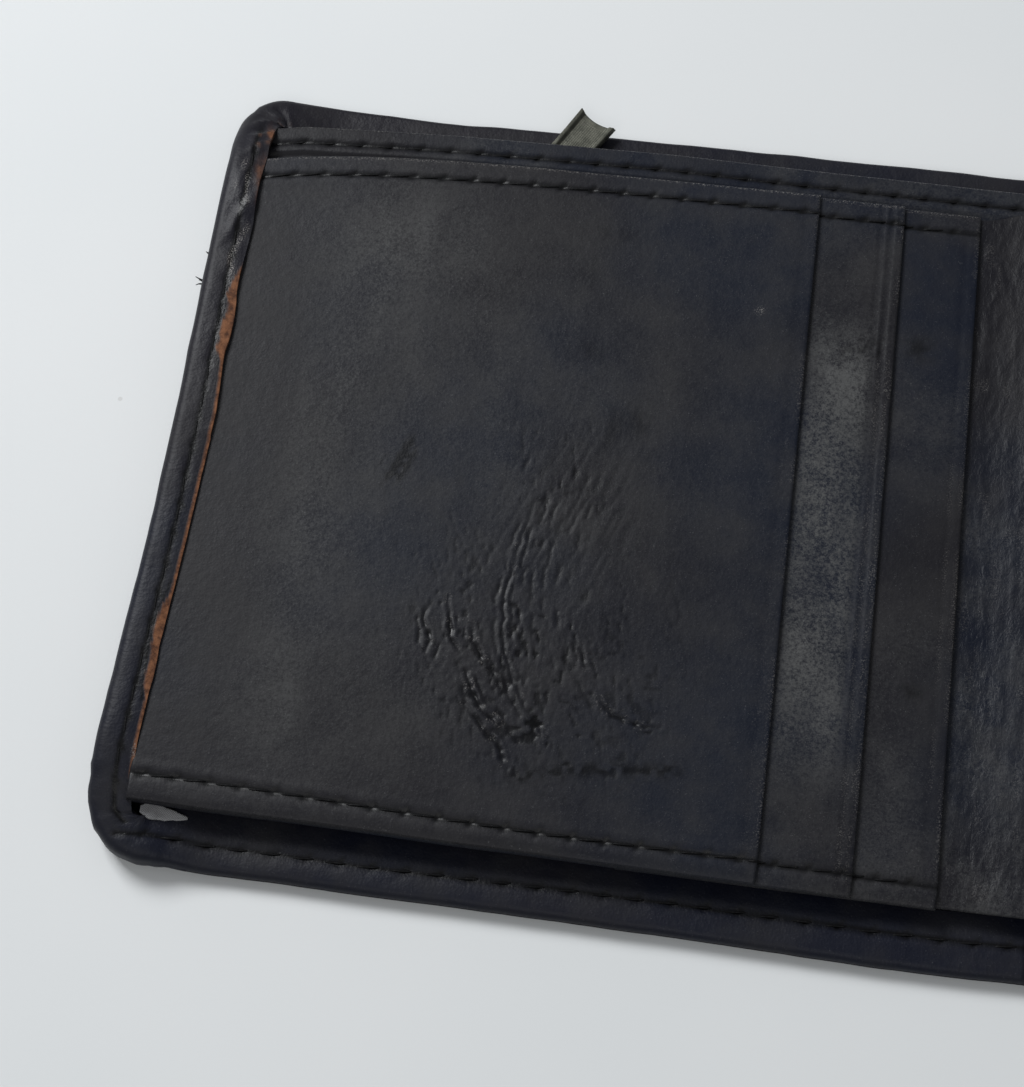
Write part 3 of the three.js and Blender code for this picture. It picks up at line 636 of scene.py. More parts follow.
def outer_piece(leaf, mid, side_z, seed, replaced, holder):
    """The plate and the three turned hems of a leaf, with the damage at its free end."""
    grid, depth, length, y, width = leaf_leather(mid, side_z, seed)
    run = length[:, None] + 0 * depth
    uu, yy = grid[..., 0], grid[..., 1]
    on_hem = ramp(depth, 0.2, 1.2)
    seam_at = np.where(y < -51, HEM_SEAM - y, SIDE_SEAM)[:, None]
    sewn = on_hem * ramp(y, 48.0, 45.0)[:, None]
    shallow = 1 - 0.72 * ramp(np.abs(y), 49.0, 44.0)[:, None]
    relief = sewn * shallow * seam_pits(run, depth - seam_at)
    relief += on_hem * 0.10 * rough(run, depth, 3.4, seed + 9) * (1 - bell(depth - seam_at, 0.8))
    free_end = ramp(uu, 11.0, 5.0)
    crumple = free_end * ramp(yy, 21.0, 33.0) * (depth > -0.5)
    folds = np.abs(noise(run / 2.6 + 0.25 * depth, depth / 5.0, seed + 21))
    rumpled = 0.60 * (0.45 - folds) + 0.18 * rough(run, depth, 1.5, seed + 31)
    relief += crumple * ramp(depth, 0.8, 2.2) * rumpled
    low = free_end * ramp(yy, -38.0, -47.0) * (depth > -0.5)
    relief += low * 0.30 * (0.4 - np.abs(noise(run / 2.2, depth / 4.0, seed + 41)))
    relief *= ramp(grid[..., 2], 0.6, 1.2)
    cut = width[:, None] - depth
    jag = 0.25 * noise(run / 0.9, 0 * run, seed + 81) + 0.2 * noise(run / 2.7, 0 * run, seed + 82)
    bare = 1.15 * np.maximum(np.exp(-(((yy - 16.5) / 6.2) ** 4)), 0.85 * np.exp(-(((yy + 27.0) / 7.5) ** 4)))
    bare = np.where(np.abs(yy) < 44, np.maximum(bare, 0.27 * ramp(yy, 21.0, 17.0)), 0)
    raw = free_end * ramp(cut, bare + jag * (bare > 0.3) + 0.12, bare + jag * (bare > 0.3) - 0.10)
    wear = np.clip(raw, 0, 1) * ramp(bare, 0.04, 0.2)
    ridge = crumple * ramp(folds, 0.16, 0.02) * ramp(noise(run / 4.2, depth / 2.2, seed + 51), 0.0, 0.5)
    burnt = spots(uu, yy, (1, 3.9, 44.6, 0.55, 1.5, -0.2), (1, 7.2, 45.6, 1.5, 0.4, 0.2),
                  (1, 3.7, 39.2, 0.6, 1.7), (1, 4.0, 35.4, 0.4, 1.4))
    burnt *= 0.35 + 0.65 * ramp(noise(uu / 0.6, yy / 0.9, seed + 62), -0.3, 0.3)
    scorched = np.clip(0.35 * ridge * ramp(depth, 2.0, 3.5) + 0.9 * burnt, 0, 1)
    wear = np.maximum(wear * ramp(yy, 40, 24), scorched)
    torn, _ = along(uu + jag, yy, [(3.4, 30.4), (2.6, 28.2), (2.0, 25.8), (2.5, 23.2)])
    nicks, _ = along(uu + 0.5 * jag, yy, [(2.1, 37.5), (2.4, 35.4), (2.7, 33.6)])
    torn_here = ramp(yy, 22.4, 23.2) * ramp(yy, 31.2, 30.2)
    nicked_here = ramp(yy, 33.0, 33.8) * ramp(yy, 38.4, 37.6)
    pale = torn_here * bell(torn, 0.30) + spot(uu, yy, 1.4, 39.3, 0.35, 0.8)
    pale += 0.8 * nicked_here * bell(nicks, 0.22)
    pale += 0.8 * spot(uu, yy, 0.8, 36.0, 0.3, 0.5) + spot(uu, yy, 2.4, -40.7, 0.3, 0.8)
    pale = np.clip(pale + 0.25 * ridge * ramp(noise(run / 1.3, depth / 1.1, seed + 61), 0.45, 0.6), 0, 1)
    if leaf == "right":                     # the inner end of the folded wallet is hardly worn
        wear, pale = 0.35 * wear, 0.2 * pale
    # dark: painted shade in the stitch grooves, and the black line along the raw edge
    dark = np.maximum(sewn * seam_dark(run, depth - seam_at), bell(cut - bare - 0.25, 0.16) * (bare > 0.3))
    bloom = 0.10 * on_hem * ramp(rough(run, depth, 6.0, seed + 71), 0.0, 0.7)
    wrinkle = 0.15 * on_hem + 0.2 * crumple
    marks = {"wear": wear, "pale": pale, "bloom": bloom, "dark": dark, "wrinkle": wrinkle}
    shape = sheet(grid, OUTER_THICK, rounded="", open_sides="c", relief=relief)
    rest = np.stack((run, np.where(depth > -0.5, depth, yy), np.where(depth > -0.5, 20.0, 0.0)), -1)
    flat = np.where((depth > -0.5)[..., None], rest, grid)
    shape["rest"] = np.concatenate((flat.reshape(-1, 3),) * 2)
    piece(leaf + "_outer_leather", shape, leaf, OUTER, replaced, holder, marks)
    return grid, depth


def hem_line(grid, depth, at, keep):
    """Points on the hem at a given distance in from the edge, or at one for each point of the edge."""
    points, at = [], np.broadcast_to(at, len(grid))
    for k in np.flatnonzero(keep):
        rim = depth[k] >= -0.5
        points.append([np.interp(at[k], depth[k][rim], grid[k][rim][:, i]) for i in range(3)])
    points = np.array(points)
    points[:, 2] += HEM_RISE
    return points


# ------------------------------------------------------------------ pockets
SLOT_EDGES = (76.2, 87.2, 97.0)             # where the front, middle and back pocket end
POCKET_START = 2.3
TUCK = 0.0045                               # share of a piece's height over which its edges round off


def by_pocket(u, values):
    """The value for the pocket that shows at u."""
    return np.where(u < SLOT_EDGES[0], values[0], np.where(u < SLOT_EDGES[1], values[1], values[2]))


def sag(u):
    """How far the pockets' tops hang down towards the free edge."""
    return 4.3 * np.exp(-u / 17.0)


def pocket_grid(us, vs, level, edge):
    """Mid-surface of one pocket: vs runs from 0 at the bottom edge to 1 at the top."""
    u, v = np.meshgrid(us, vs, indexing="ij")
    bottom = -46.35 - 0.9 * ramp(u, 0, 80) + 0.12 * noise(u / 13, 0 * u, 5)
    top = 44.25 - sag(u) + 0.18 * noise(u / 17, 0 * u, 6)
    y = bottom + (top - bottom) * v
    inside = (1 - np.exp(-(u - us[0]) / 9)) * (1 - np.exp(-(y - bottom) / 5)) * (1 - np.exp(-(top - y) / 5))
    z = level + 0.22 * inside + 0.16 * ramp(u, edge - 12, edge) * inside
    z = z - 0.45 * np.exp(-(y - bottom) / 0.7)
    return np.stack((u, y, z), -1)


LONG_CRACK = 3
CRACKS = [
    [(33.9, -18.6), (33.8, -20.4), (34.7, -22.2), (34.6, -24.2)],
    [(36.3, -17.1), (36.9, -20.0), (37.5, -22.2), (38.8, -23.7)],
    [(39.5, -20.0), (40.1, -22.2), (41.3, -24.0), (43.5, -26.3), (43.8, -27.6)],
    [(45.3, -2.5), (44.1, -8.1), (43.4, -12.2), (43.0, -15.9), (43.3, -19.2), (43.9, -22.7), (45.2, -25.8),
     (46.8, -28.8), (48.7, -31.4), (50.1, -32.5)],
    [(39.7, -25.8), (40.3, -27.4), (41.1, -29.2), (42.6, -30.9), (44.5, -31.9)],
    [(40.0, -30.0), (41.5, -31.7), (42.5, -32.8), (44.6, -34.5), (46.2, -37.4)],
    [(53.0, -21.6), (53.9, -24.0)],
    [(55.8, -27.6), (57.5, -29.3), (60.4, -30.1), (63.4, -30.2)],
]


def front_damage(u, y, seed=301):
    """Relief and marks of the cracks, wrinkles and stains on the front pocket, and painted glints beside the
    cracks.
    """
    ju = u + 0.34 * rough(u, y, 1.1, seed)
    jy = y + 0.34 * rough(u, y, 1.1, seed + 1)
    relief, dark, pale = np.zeros_like(u), np.zeros_like(u), np.zeros_like(u)
    for k, chain in enumerate(CRACKS):
        gap, where = along(ju, jy, chain)
        taper = np.sin(np.pi * np.clip(where, 0.04, 0.96)) ** 0.5
        strength = (0.55 if k == LONG_CRACK else 1.0) * taper
        beads = 0.65 + 0.55 * noise(where * 14, 0 * u, seed + 5 + k)
        relief -= 0.22 * strength * beads * bell(gap, 0.22)
        relief += 0.07 * strength * bell(gap - 0.50, 0.22)
        dark = np.maximum(dark, strength * np.clip(beads + 0.3, 0, 1) * bell(gap, 0.27))
        # painted highlight: broken glints along one side of each crack
        glint = bell(gap - 0.42, 0.13) * ramp(noise(where * 23, 0 * u, seed + 40 + k), 0.25, 0.6)
        pale = np.maximum(pale, 0.5 * strength * glint)
        for beside in (-1.25, 1.15):
            gap, where = along(ju + beside, jy - 0.6 * beside, chain)
            short = ramp(noise(where * 9 + beside, 0 * u, seed + 120 + k), -0.1, 0.3) * (k != LONG_CRACK)
            relief -= 0.09 * short * bell(gap, 0.20)
            dark = np.maximum(dark, 0.7 * short * bell(gap, 0.22))
    arcs = np.zeros_like(u)
    for shift in (-1.1, 0.9, 1.8, 3.1, 4.4, 6.0, 7.5):
        chain = [(a + shift, b + shift * 0.55) for a, b in CRACKS[LONG_CRACK]]
        gap, where = along(ju, jy, chain)
        arcs += bell(gap, 0.28) * ramp(noise(where * 17, 0 * u + shift, seed + 60), -0.2, 0.4)
    relief -= 0.07 * arcs
    dark = np.maximum(dark, 0.45 * np.clip(arcs, 0, 1))
    slant = np.abs(noise((u * 0.9 - y * 0.35) / 0.95, (y + u * 0.2) / 5.5, seed + 80))
    field = spot(u, y, 50, -4, 8, 11, 0.1)
    relief += 0.09 * field * (slant - 0.4)
    dark = np.maximum(dark, 0.4 * field * ramp(slant, 0.16, 0.02))
    grainy = np.maximum(spot(u, y, 46, -22, 15, 15), 0.8 * spot(u, y, 48, -3, 7, 13))
    knots = noise((u + 0.15 * y) / 0.45, y / 1.0, seed + 86) + 0.6 * noise(u / 1.6, y / 3.1, seed + 87)
    relief += 0.045 * grainy * ramp(np.abs(knots), 0.4, 0.0) - 0.07 * grainy * ramp(knots, 0.60, 0.95)
    dark = np.maximum(dark, 0.85 * grainy * ramp(knots, 0.62, 0.95))
    pits = ramp(noise(u / 0.9, y / 0.75, seed + 90) + 0.5 * noise(u / 3, y / 3, seed + 91), 0.42, 0.72)
    scar = np.maximum(spot(u, y, 49.0, -31.0, 7.5, 5.0, -0.3), 0.8 * spot(u, y, 54.0, -35.5, 9.0, 2.4))
    scar = np.maximum(scar, 0.5 * spot(u, y, 58, -25, 7, 7))
    relief -= 0.09 * scar * pits
    dark = np.maximum(dark, scar * pits)
    gap, _ = along(ju, jy, [(47.0, -38.3), (50.4, -37.5), (56.2, -36.1), (65.7, -35.2)])
    band = bell(gap, 0.9) * ramp(noise(u / 0.8, y / 0.7, seed + 95), -0.5, 0.2)
    dark = np.maximum(dark, 0.75 * band)
    smears = spots(u, y, (0.50, 57, 9.0, 1.6, 3.0), (0.42, 53.4, 7.4, 1.2, 3.4, 0.2),
                   (0.30, 49, 18, 2.4, 1.7), (0.28, 50, 35, 4.2, 1.4), (0.25, 47.5, 29, 2.5, 4.0))
    speckle = ramp(noise(u / 1.1, y / 1.6, seed + 97), -0.4, 0.4)
    dark = np.maximum(dark, np.clip(smears, 0, 1) * (0.4 + 0.6 * speckle))
    scrape = np.abs(noise((u - 0.35 * y) / 0.8, y / 6, seed + 99)) * spot(u, y, 27.5, -0.5, 2.3, 4.2, 0.35)
    dark = np.maximum(dark, 0.7 * ramp(scrape, 0.18, 0.4))
    pale = np.maximum(pale, 0.8 * spot(u, y, 69.9, 26.3, 0.5, 0.4))
    return relief, np.clip(dark, 0, 1), pale


def front_bloom(u, y):
    """Dusty greying of the front pocket."""
    wide = spots(u, y, (0.75, 22.5, 28, 9.5, 12), (0.42, 18.5, 2, 6.5, 14), (0.50, 19, -24, 7.0, 18),
                 (0.22, 42, 8, 22, 22), (0.18, 32, -30, 9, 12))
    streaks = 0.65 + 0.35 * noise(u / 2.4, y / 11, 411)
    return np.clip(0.84 * wide * streaks + 0.07, 0, 1)


def middle_damage(u, y, seed):
    """Relief and marks of the creases, dents and rubbed patch on a middle pocket, with painted highlights
    along the creases.
    """
    rubbed = ramp(y, 30, 18) * ramp(y, -38, -24) * ramp(u, 75.5, 78) * ramp(u, 85.2, 83.4)
    bloom = np.clip(rubbed * (0.75 + 0.3 * noise(u / 2.5, y / 9, seed + 8)) + 0.15, 0, 1)
    relief = np.zeros_like(u)
    for at, strength in ((84.5, 1.0), (85.6, 0.8)):
        crease = bell(u - at - 0.25 * noise(y / 9, 0 * y, seed + 9), 0.22) * ramp(y, -40, -8)
        relief += strength * (0.06 * bell(u - at - 0.55, 0.3) - 0.10 * crease)
    dents = spots(u, y, (1, 82.8, 23, 0.9, 1.2), (1, 85.0, 23, 0.8, 1.5), (0.6, 81.2, 22, 0.7, 0.8))
    grit = ramp(noise(u / 0.55, y / 0.55, seed + 10), -0.2, 0.5)
    relief -= 0.10 * np.clip(dents, 0, 1) * grit
    # painted highlights along the two creases near the slot edge
    lit = bell(u - 85.35, 0.14) + 0.8 * bell(u - 86.5, 0.14)
    broken = ramp(noise(y / 1.6, 0 * y, seed + 11) + 0.4 * noise(y / 6, 0 * y, seed + 12), -0.1, 0.5)
    return relief, np.clip(0.95 * dents * grit, 0, 1), 0.5 * lit * broken * ramp(y, 30, 20), bloom


def top_seam_y(u):
    return 41.5 - sag(u)


def bottom_seam_y(u):
    return -43.35 - 1.25 * ramp(u, 3, 60)


def pocket(leaf, part, level, edge, seed):
    """One pocket of a leaf. The left leaf's front pocket is the damaged one, and has a finer mesh."""
    damaged = leaf == "left" and part == "front"
    if damaged:
        us = stretch((POCKET_START, 31, 0.5), (31, 65, 0.21), (65, edge, 0.5))
        spans = ((0, 0.06, 20), (0.06, 0.50, 170), (0.50, 0.93, 90), (0.93, 1, 24))
    else:
        us = stretch((POCKET_START, edge - 14, 1.1), (edge - 14, edge, 0.4))
        spans = ((0, 0.06, 12), (0.06, 0.94, 110), (0.94, 1, 14))
    vs = [np.linspace(*span) for span in spans]
    vs = np.unique(np.concatenate(vs + [TUCK * EDGE_STEPS, 1 - TUCK * EDGE_STEPS]))
    grid = pocket_grid(us, vs, level, edge)
    u, y = grid[..., 0], grid[..., 1]
    from_top_seam, from_bottom_seam = y - top_seam_y(u), y - bottom_seam_y(u)
    relief = 0.045 * rough(u, y, 9.0, seed)
    relief -= 0.05 * bell(u - (edge - 1.7), 0.28) * ramp(y, -47, -40)
    relief += seam_pits(u, from_top_seam) + seam_pits(u, from_bottom_seam)
    relief += 0.16 * bell(y - (-46.0 - 0.9 * ramp(u, 0, 80)), 1.1)
    # painted shade: the dark of the stitch grooves and their slits, put into the colour
    seam_shade = np.maximum(seam_dark(u, from_top_seam), seam_dark(u, from_bottom_seam))
    # pale: the rubbed slot edge, a painted highlight along the pressed line inside it, and a painted
    # highlight along the turned top edge
    rubbed = bell(u - edge + 0.15, 0.35) * ramp(noise(y / 4.5, 0 * y, seed + 4), -0.5, 0.4)
    pressed_line_highlight = bell(u - edge + 1.75, 0.16) * ramp(y, 30, 8) * ramp(noise(y / 3.5, 0 * y, seed + 5), -0.6, 0.3)
    top = 44.25 - sag(u)
    pale = 0.22 * rubbed + 0.42 * bell(y - top + 0.22, 0.16) + 0.28 * pressed_line_highlight
    gloss = 0.35 * bell(u - edge + 1.0, 1.4) + 0.3 * ramp(y, -45.0, -46.2)
    wrinkle = 0.25 * ramp(y, -44.0, -46.0)
    if damaged:
        extra, dark, crack_glints_and_dot = front_damage(u, y)
        relief += extra
        pale, bloom = np.maximum(crack_glints_and_dot, pale), front_bloom(u, y)
        wrinkle = np.maximum(wrinkle, 0.30 * spot(u, y, 50, -8, 14, 22))
        gloss = np.maximum(gloss, 0.5 * dark)
    elif part == "middle":
        extra, dark, glints, bloom = middle_damage(u, y, seed)
        relief += extra
        pale = pale + glints
    else:
        bloom = 0.22 * ramp(rough(u, y, 16.0, seed + 8), -0.4, 0.5) + 0.25 * spot(u, y, 91, -34, 4, 9)
        stain = spots(u, y, (0.75, 90.2, 24.0, 1.8, 1.6), (0.8, 92.2, -21.6, 1.3, 0.8))
        dark = np.clip(stain, 0, 1) * ramp(noise(u / 0.8, y / 0.7, seed + 10), -0.7, 0.1)
    marks = {"bloom": bloom, "dark": np.maximum(dark, seam_shade), "pale": pale * (1 - seam_shade),
             "wrinkle": wrinkle,
             "gloss": gloss}
    piece(f"{leaf}_{part}_pocket_leather", sheet(grid, 0.62, relief=relief, rim=0.34), leaf, INNER,
          (f"{leaf}_pocket_{part}",), leaf + "_leaf", marks, grain_of(seed))


def seam_on_pockets(leaf, side, levels):
    """Stitches along the pockets' tops or bottoms, stepping down where each pocket ends."""
    us = np.linspace(4.2, 96.4, 240)
    y = top_seam_y(us) if side == "top" else bottom_seam_y(us)
    inside = (1 - np.exp(-(us - POCKET_START) / 9)) * (1 - np.exp(-2.7 / 5))
    edge = by_pocket(us, SLOT_EDGES)
    z = by_pocket(us, levels) + 0.22 * inside + 0.30
    z = z + 0.16 * ramp(us, edge - 12, edge) * inside
    stitches(f"{leaf}_pocket_{side}_stitches", leaf, np.stack((us, y, z), 1), (f"{leaf}_seam_pocket_{side}",),
             leaf + "_leaf")


# ------------------------------------------------------------------ leather that crosses the folds
def fold_wrinkles(across, y, seed):
    """Elongated pebbling and long creases that run along the fold."""
    long_crease = np.abs(noise(across / 1.25, y / 9.5, seed))
    sway = 1.1 * noise(across / 2.4, y / 3.2, seed + 1)
    short_crease = np.abs(noise(across / 0.70 + sway, y / 1.5 + sway, seed + 2))
    return 0.05 * (long_crease - 0.35) + 0.11 * (short_crease - 0.35)


def liner_piece(name, leaf, us, level_at, top_at, seed, spine_at, replaced, holder, rounded):
    """The pocket base, which runs on over the fold as its liner."""
    vs = np.unique(np.concatenate((TUCK * EDGE_STEPS, np.linspace(TUCK, 1 - TUCK, 190),
                                   1 - TUCK * EDGE_STEPS)))
    u, v = np.meshgrid(us, vs, indexing="ij")
    bottom = -47.0 + 0.15 * noise(u / 9, 0 * u, seed)
    y = bottom + (top_at(u) - bottom) * v
    z = level_at(u) - 0.30 * np.exp(-(y - bottom) / 1.0)
    near = ramp(np.abs(u - spine_at), 15.0, 8.0)
    relief = near * fold_wrinkles(u, y, seed + 3) + 0.04 * rough(u, y, 8, seed + 6)
    marks = {"bloom": near * (0.15 + 0.5 * rough(u, y, 5.0, seed + 7)) * ramp(y, 30, -10),
             "wrinkle": 0.85 * near,
             "gloss": near * (0.15 + 0.7 * spot(u, y, 99.8, -28, 1.9, 22)),
             "pale": 0.10 * near * ramp(noise(u / 0.9, y / 2.5, seed + 8), 0.45, 0.7)}
    shape = sheet(np.stack((u, y, z), -1), 0.6, rounded=rounded, relief=relief)
    piece(name, shape, leaf, INNER, replaced, holder, marks, grain_of(seed))


DIVIDER_SEAM = 2.6                          # from the divider's top edge down to its stitches


def divider_piece(name, leaf, us, foot_z, level_at, top_at, seed, rounded, replaced, holder):
    """A divider: sewn into the bottom hem, up a short slope, then level to its turned top edge."""
    vs = np.concatenate((np.linspace(0, 0.08, 9), np.linspace(0.08, 0.90, 60)[1:],
                         np.linspace(0.90, 1 - TUCK, 34)[1:],
                         1 - TUCK * EDGE_STEPS[::-1][1:]))
    u, v = np.meshgrid(us, vs, indexing="ij")
    top = top_at(u)
    y = -45.0 + (top + 45.0) * v
    z = foot_z + (level_at(u) - foot_z) * ramp(y, -45.4, -39.5)
    seam = y - (top - DIVIDER_SEAM)
    relief = seam_pits(u, seam) + 0.05 * rough(u, y, 6.0, seed)
    relief += 0.10 * ramp(y, top - 4.6, top - 3.9)
    # dark: painted shade in the stitch groove; pale: painted highlight along the turned top edge
    marks = {"bloom": 0.30 * ramp(rough(u, y, 9.0, seed + 1), -0.1, 0.6) * ramp(y, 40, 45),
             "gloss": 0.25 + 0 * u,
             "wrinkle": 0.2 + 0 * u, "dark": seam_dark(u, seam), "pale": 0.30 * bell(y - top + 0.2, 0.14)}
    thick = 0.55 + 0.42 * ramp(y, top - 4.4, top - 3.8)
    shape = sheet(np.stack((u, y, z), -1), thick, rounded=rounded, relief=relief)
    piece(name, shape, leaf, INNER, replaced, holder, marks, grain_of(seed))


def divider_top(u):
    """Top edge of the left divider, from its sagging corner to the fold."""
    return np.interp(u, (2, 8, 15, 28, 42, 57, 75, 102, 112),
                     (46.6, 47.75, 48.15, 48.8, 49.1, 49.4, 49.2, 49.1, 49.1))


# ------------------------------------------------------------------ the two outer leaves
def outer_leaf(side, mid, side_z, seed, pockets, fold_step, liner, liner_top, spine_at, foot_z, divider_z):
    """One outer leaf, from its free end to the middle of its fold. liner and liner_top say how high the
    pocket base and its top edge lie, how much they rise over the fold, and from where to where."""
    bend, rider = side + "_outer", side + "_leaf"
    grid, depth = outer_piece(side, mid, side_z, 10 + seed, (side + "_shell", side + "_fold_shell"), bend)
    u, y = outline(mid)[:2]
    seam = hem_line(grid, depth, SIDE_SEAM, (np.abs(y) < 46) & (u < 1))
    stitches(side + "_side_stitches", side, seam, (side + "_seam_side",), rider)
    seam = hem_line(grid, depth, HEM_SEAM - y, (y < -51.9) & (u > 6))
    stitches(side + "_hem_stitches", side, seam, (side + "_seam_hem",), bend)

    for k, (part, level, edge) in enumerate(zip(("front", "middle", "back"), pockets, SLOT_EDGES)):
        pocket(side, part, level, edge, 20 + 10 * k + seed)
    for at in ("top", "bottom"):
        seam_on_pockets(side, at, pockets)

    us = np.concatenate((60 + 0.4 * EDGE_STEPS, np.arange(61.5, 86, 1.5), np.arange(86, mid, fold_step),
                         [mid]))
    liner_piece(side + "_pocket_base_leather", side, us, lambda u: liner[0] + liner[1] * ramp(u, *liner[2:]),
                lambda u: 44.2 + liner_top[0] * ramp(u, *liner_top[1:]), 50 + seed, spine_at,
                (side + "_pocket_base", side + "_fold_liner"), bend, "acd")

    us = np.concatenate((2.4 + 0.4 * EDGE_STEPS, np.arange(3.4, mid, 0.6), [mid]))
    divider_piece(side + "_divider_leather", side, us, foot_z, lambda u: divider_z + 0 * u, divider_top,
                  60 + seed,
                  "acd", (side + "_divider",), bend)
    us = np.linspace(5.0, mid, 260)
    seam = np.stack((us, divider_top(us) - DIVIDER_SEAM, 0 * us + divider_z + 0.47), 1)
    stitches(side + "_divider_stitches", side, seam, (side + "_seam_divider",), bend)


def left_corner_damage():
    """The lower free corner has come open and shows the pale stiffener; threads stick out of the side."""
    ts, ws = samples(0, 1, 0.08, 0.05), samples(0, 1, 0.08, 0.05)
    t, w = np.meshgrid(ts, ws, indexing="ij")
    u = 3.9 + 5.6 * t
    spread = 1.15 * (1 - t) ** 0.8 * ramp(t, -0.1, 0.25) + 0.15
    y = -46.9 - 0.3 * t + (w - 0.5) * 2 * spread + 0.1 * noise(u / 0.7, w * 3, 72)
    z = 4.1 - 1.1 * t + 0.12 * rough(u, y, 1.2, 73)
    shape = sheet(np.stack((u, y, z), -1), 0.35, relief=0.06 * rough(u, y, 0.7, 74), rim=0.12)
    piece("left_corner_stiffener", shape, "left", BOARD, ("left_pocket_base",), "left_leaf")
    shapes = []
    threads = ((22.9, 1.3, 0.5), (22.3, 1.0, -0.2), (22.6, 0.7, 0.2), (26.6, 0.5, 0.3))
    for k, (y0, reach, rise) in enumerate(threads):
        bend = np.linspace(0, 1, 7)
        path = np.stack((-1.2 - reach * bend, y0 + rise * bend ** 2,
                         4.6 + 0.5 * k / 3 + 0.2 * np.sin(3 * bend)), 1)
        shapes.append(tube(path, 0.13 * (1 - 0.8 * bend) + 0.02, 5))
    piece("left_loose_threads", together(shapes), "left", THREAD, ("left_seam_side",), "left_leaf")


# ------------------------------------------------------------------ centre
def hem_path():
    """Across the wallet: from the top hem's cut edge over the plate to the bottom hem's, with the heights."""
    arc = np.linspace(0, np.pi / 2, 6)
    sin, cos = np.sin(arc), np.cos(arc)
    top_r, low_r = 0.39, 0.755                  # of the turns at the two edges
    top = [(HALF - top_r - (TOP_HEM_WIDTH - top_r) * f, TOP_HEM - 0.12 * f ** 2)
           for f in (1, 0.996, 0.985, 0.95, 0.8, 0.6, 0.4, 0.2)]
    top += zip(HALF - top_r + top_r * sin, TOP_HEM - top_r + top_r * cos)
    top += zip(HALF - top_r + top_r * cos, PLATE + top_r - top_r * sin)
    plate = [(y, PLATE) for y in np.linspace(50, -50, 26)]
    low = list(zip(-HALF + low_r - low_r * sin, PLATE + low_r - low_r * cos))
    low += zip(-HALF + low_r - low_r * cos, BOTTOM_HEM - low_r + low_r * sin)
    low += [(-HALF + low_r + (BOTTOM_HEM_WIDTH - low_r) * f, BOTTOM_HEM - 0.35 * f ** 2)
            for f in np.concatenate((np.linspace(0.06, 0.94, 14), (0.965, 0.985, 0.996, 1.0)))]
    path = np.array(top + plate + low)
    path[:, 0] -= LOW_EDGE * ramp(path[:, 0], -36, -45)
    path[:, 0] += HIGH_EDGE * ramp(path[:, 0], 36, 44)
    return path


def centre_outer(side, x0, x1, seed, bend):
    """The outer leather of half the centre leaf, with the stitches of its bottom hem."""
    path = hem_path()
    xs = np.linspace(x0, x1, int((x1 - x0) / 0.62))
    x, y = np.meshgrid(xs, path[:, 0], indexing="ij")
    z = np.tile(path[:, 1], (len(xs), 1))
    hem = (z > 1.5) & (y < 0)
    relief = np.where(hem, seam_pits(x, y - HEM_SEAM) + 0.10 * rough(x, y, 3.4, seed),
                      0.03 * rough(x, y, 9, seed))
    relief *= ramp(np.abs(x - (x0 or x1)), 0, 4)
    # dark: painted shade in the hem's stitch groove
    marks = {"bloom": 0.25 * ramp(rough(x, y, 7.0, seed + 1), 0.0, 0.7),
             "wrinkle": np.where(z > 1.2, 0.4, 0.1),
             "gloss": 0.2 + 0 * x, "dark": np.where(hem, seam_dark(x, y - HEM_SEAM), 0)}
    shape = sheet(np.stack((x, y, z), -1), OUTER_THICK, rounded="", relief=relief)
    piece(f"centre_{side}_outer_leather", shape, "centre", OUTER, ("centre_shell", side + "_fold_shell"),
          bend, marks)
    seam = np.stack((xs, 0 * xs + HEM_SEAM, 0 * xs + BOTTOM_HEM + 0.35), 1)
    stitches(f"centre_{side}_hem_stitches", "centre", seam, ("centre_seam_hem", side + "_fold_seam_hem"),
             bend)


CENTRE_DIVIDER, CENTRE_POCKET = 2.03, 2.62  # heights of their middle surfaces


def centre_half(side, x0, x1, seed, divider_z, crest_z, rise):
    """Half of the centre leaf, out to the middle of the fold, where its divider and fold leather reach
    divider_z and crest_z."""
    bend, mid = side + "_inner", abs(x0 or x1)
    centre_outer(side, x0, x1, seed, bend)

    def level(x):
        return CENTRE_DIVIDER + (divider_z - CENTRE_DIVIDER) * ramp(np.abs(x), 50, mid)

    def arch(x):
        return CENTRE_POCKET + (crest_z - CENTRE_POCKET) * ramp(np.abs(x), 47.5, mid)

    xs = np.linspace(x0, x1, int((x1 - x0) / 0.6))
    divider_piece(f"centre_{side}_divider_leather", "centre", xs, 2.0, level, lambda x: 49.1 + 0 * x, 63,
                  "cd",
                  ("centre_divider",), bend)
    seam = np.stack((xs, 0 * xs + 49.1 - DIVIDER_SEAM, level(xs) + 0.47), 1)
    stitches(f"centre_{side}_divider_stitches", "centre", seam, ("centre_seam_divider",), bend)

    out = np.concatenate((46.1 + 0.4 * EDGE_STEPS, np.arange(46.8, mid, 0.3), [mid]))
    us, spine_at, rounded = (-out[::-1], -mid, "bcd") if side == "left" else (out, mid, "acd")
    liner_piece(f"centre_{side}_fold_leather", "centre", us, arch,
                lambda x: 44.2 + rise * ramp(np.abs(x), 47, 56),
                53, spine_at, (side + "_fold_liner",), bend, rounded)


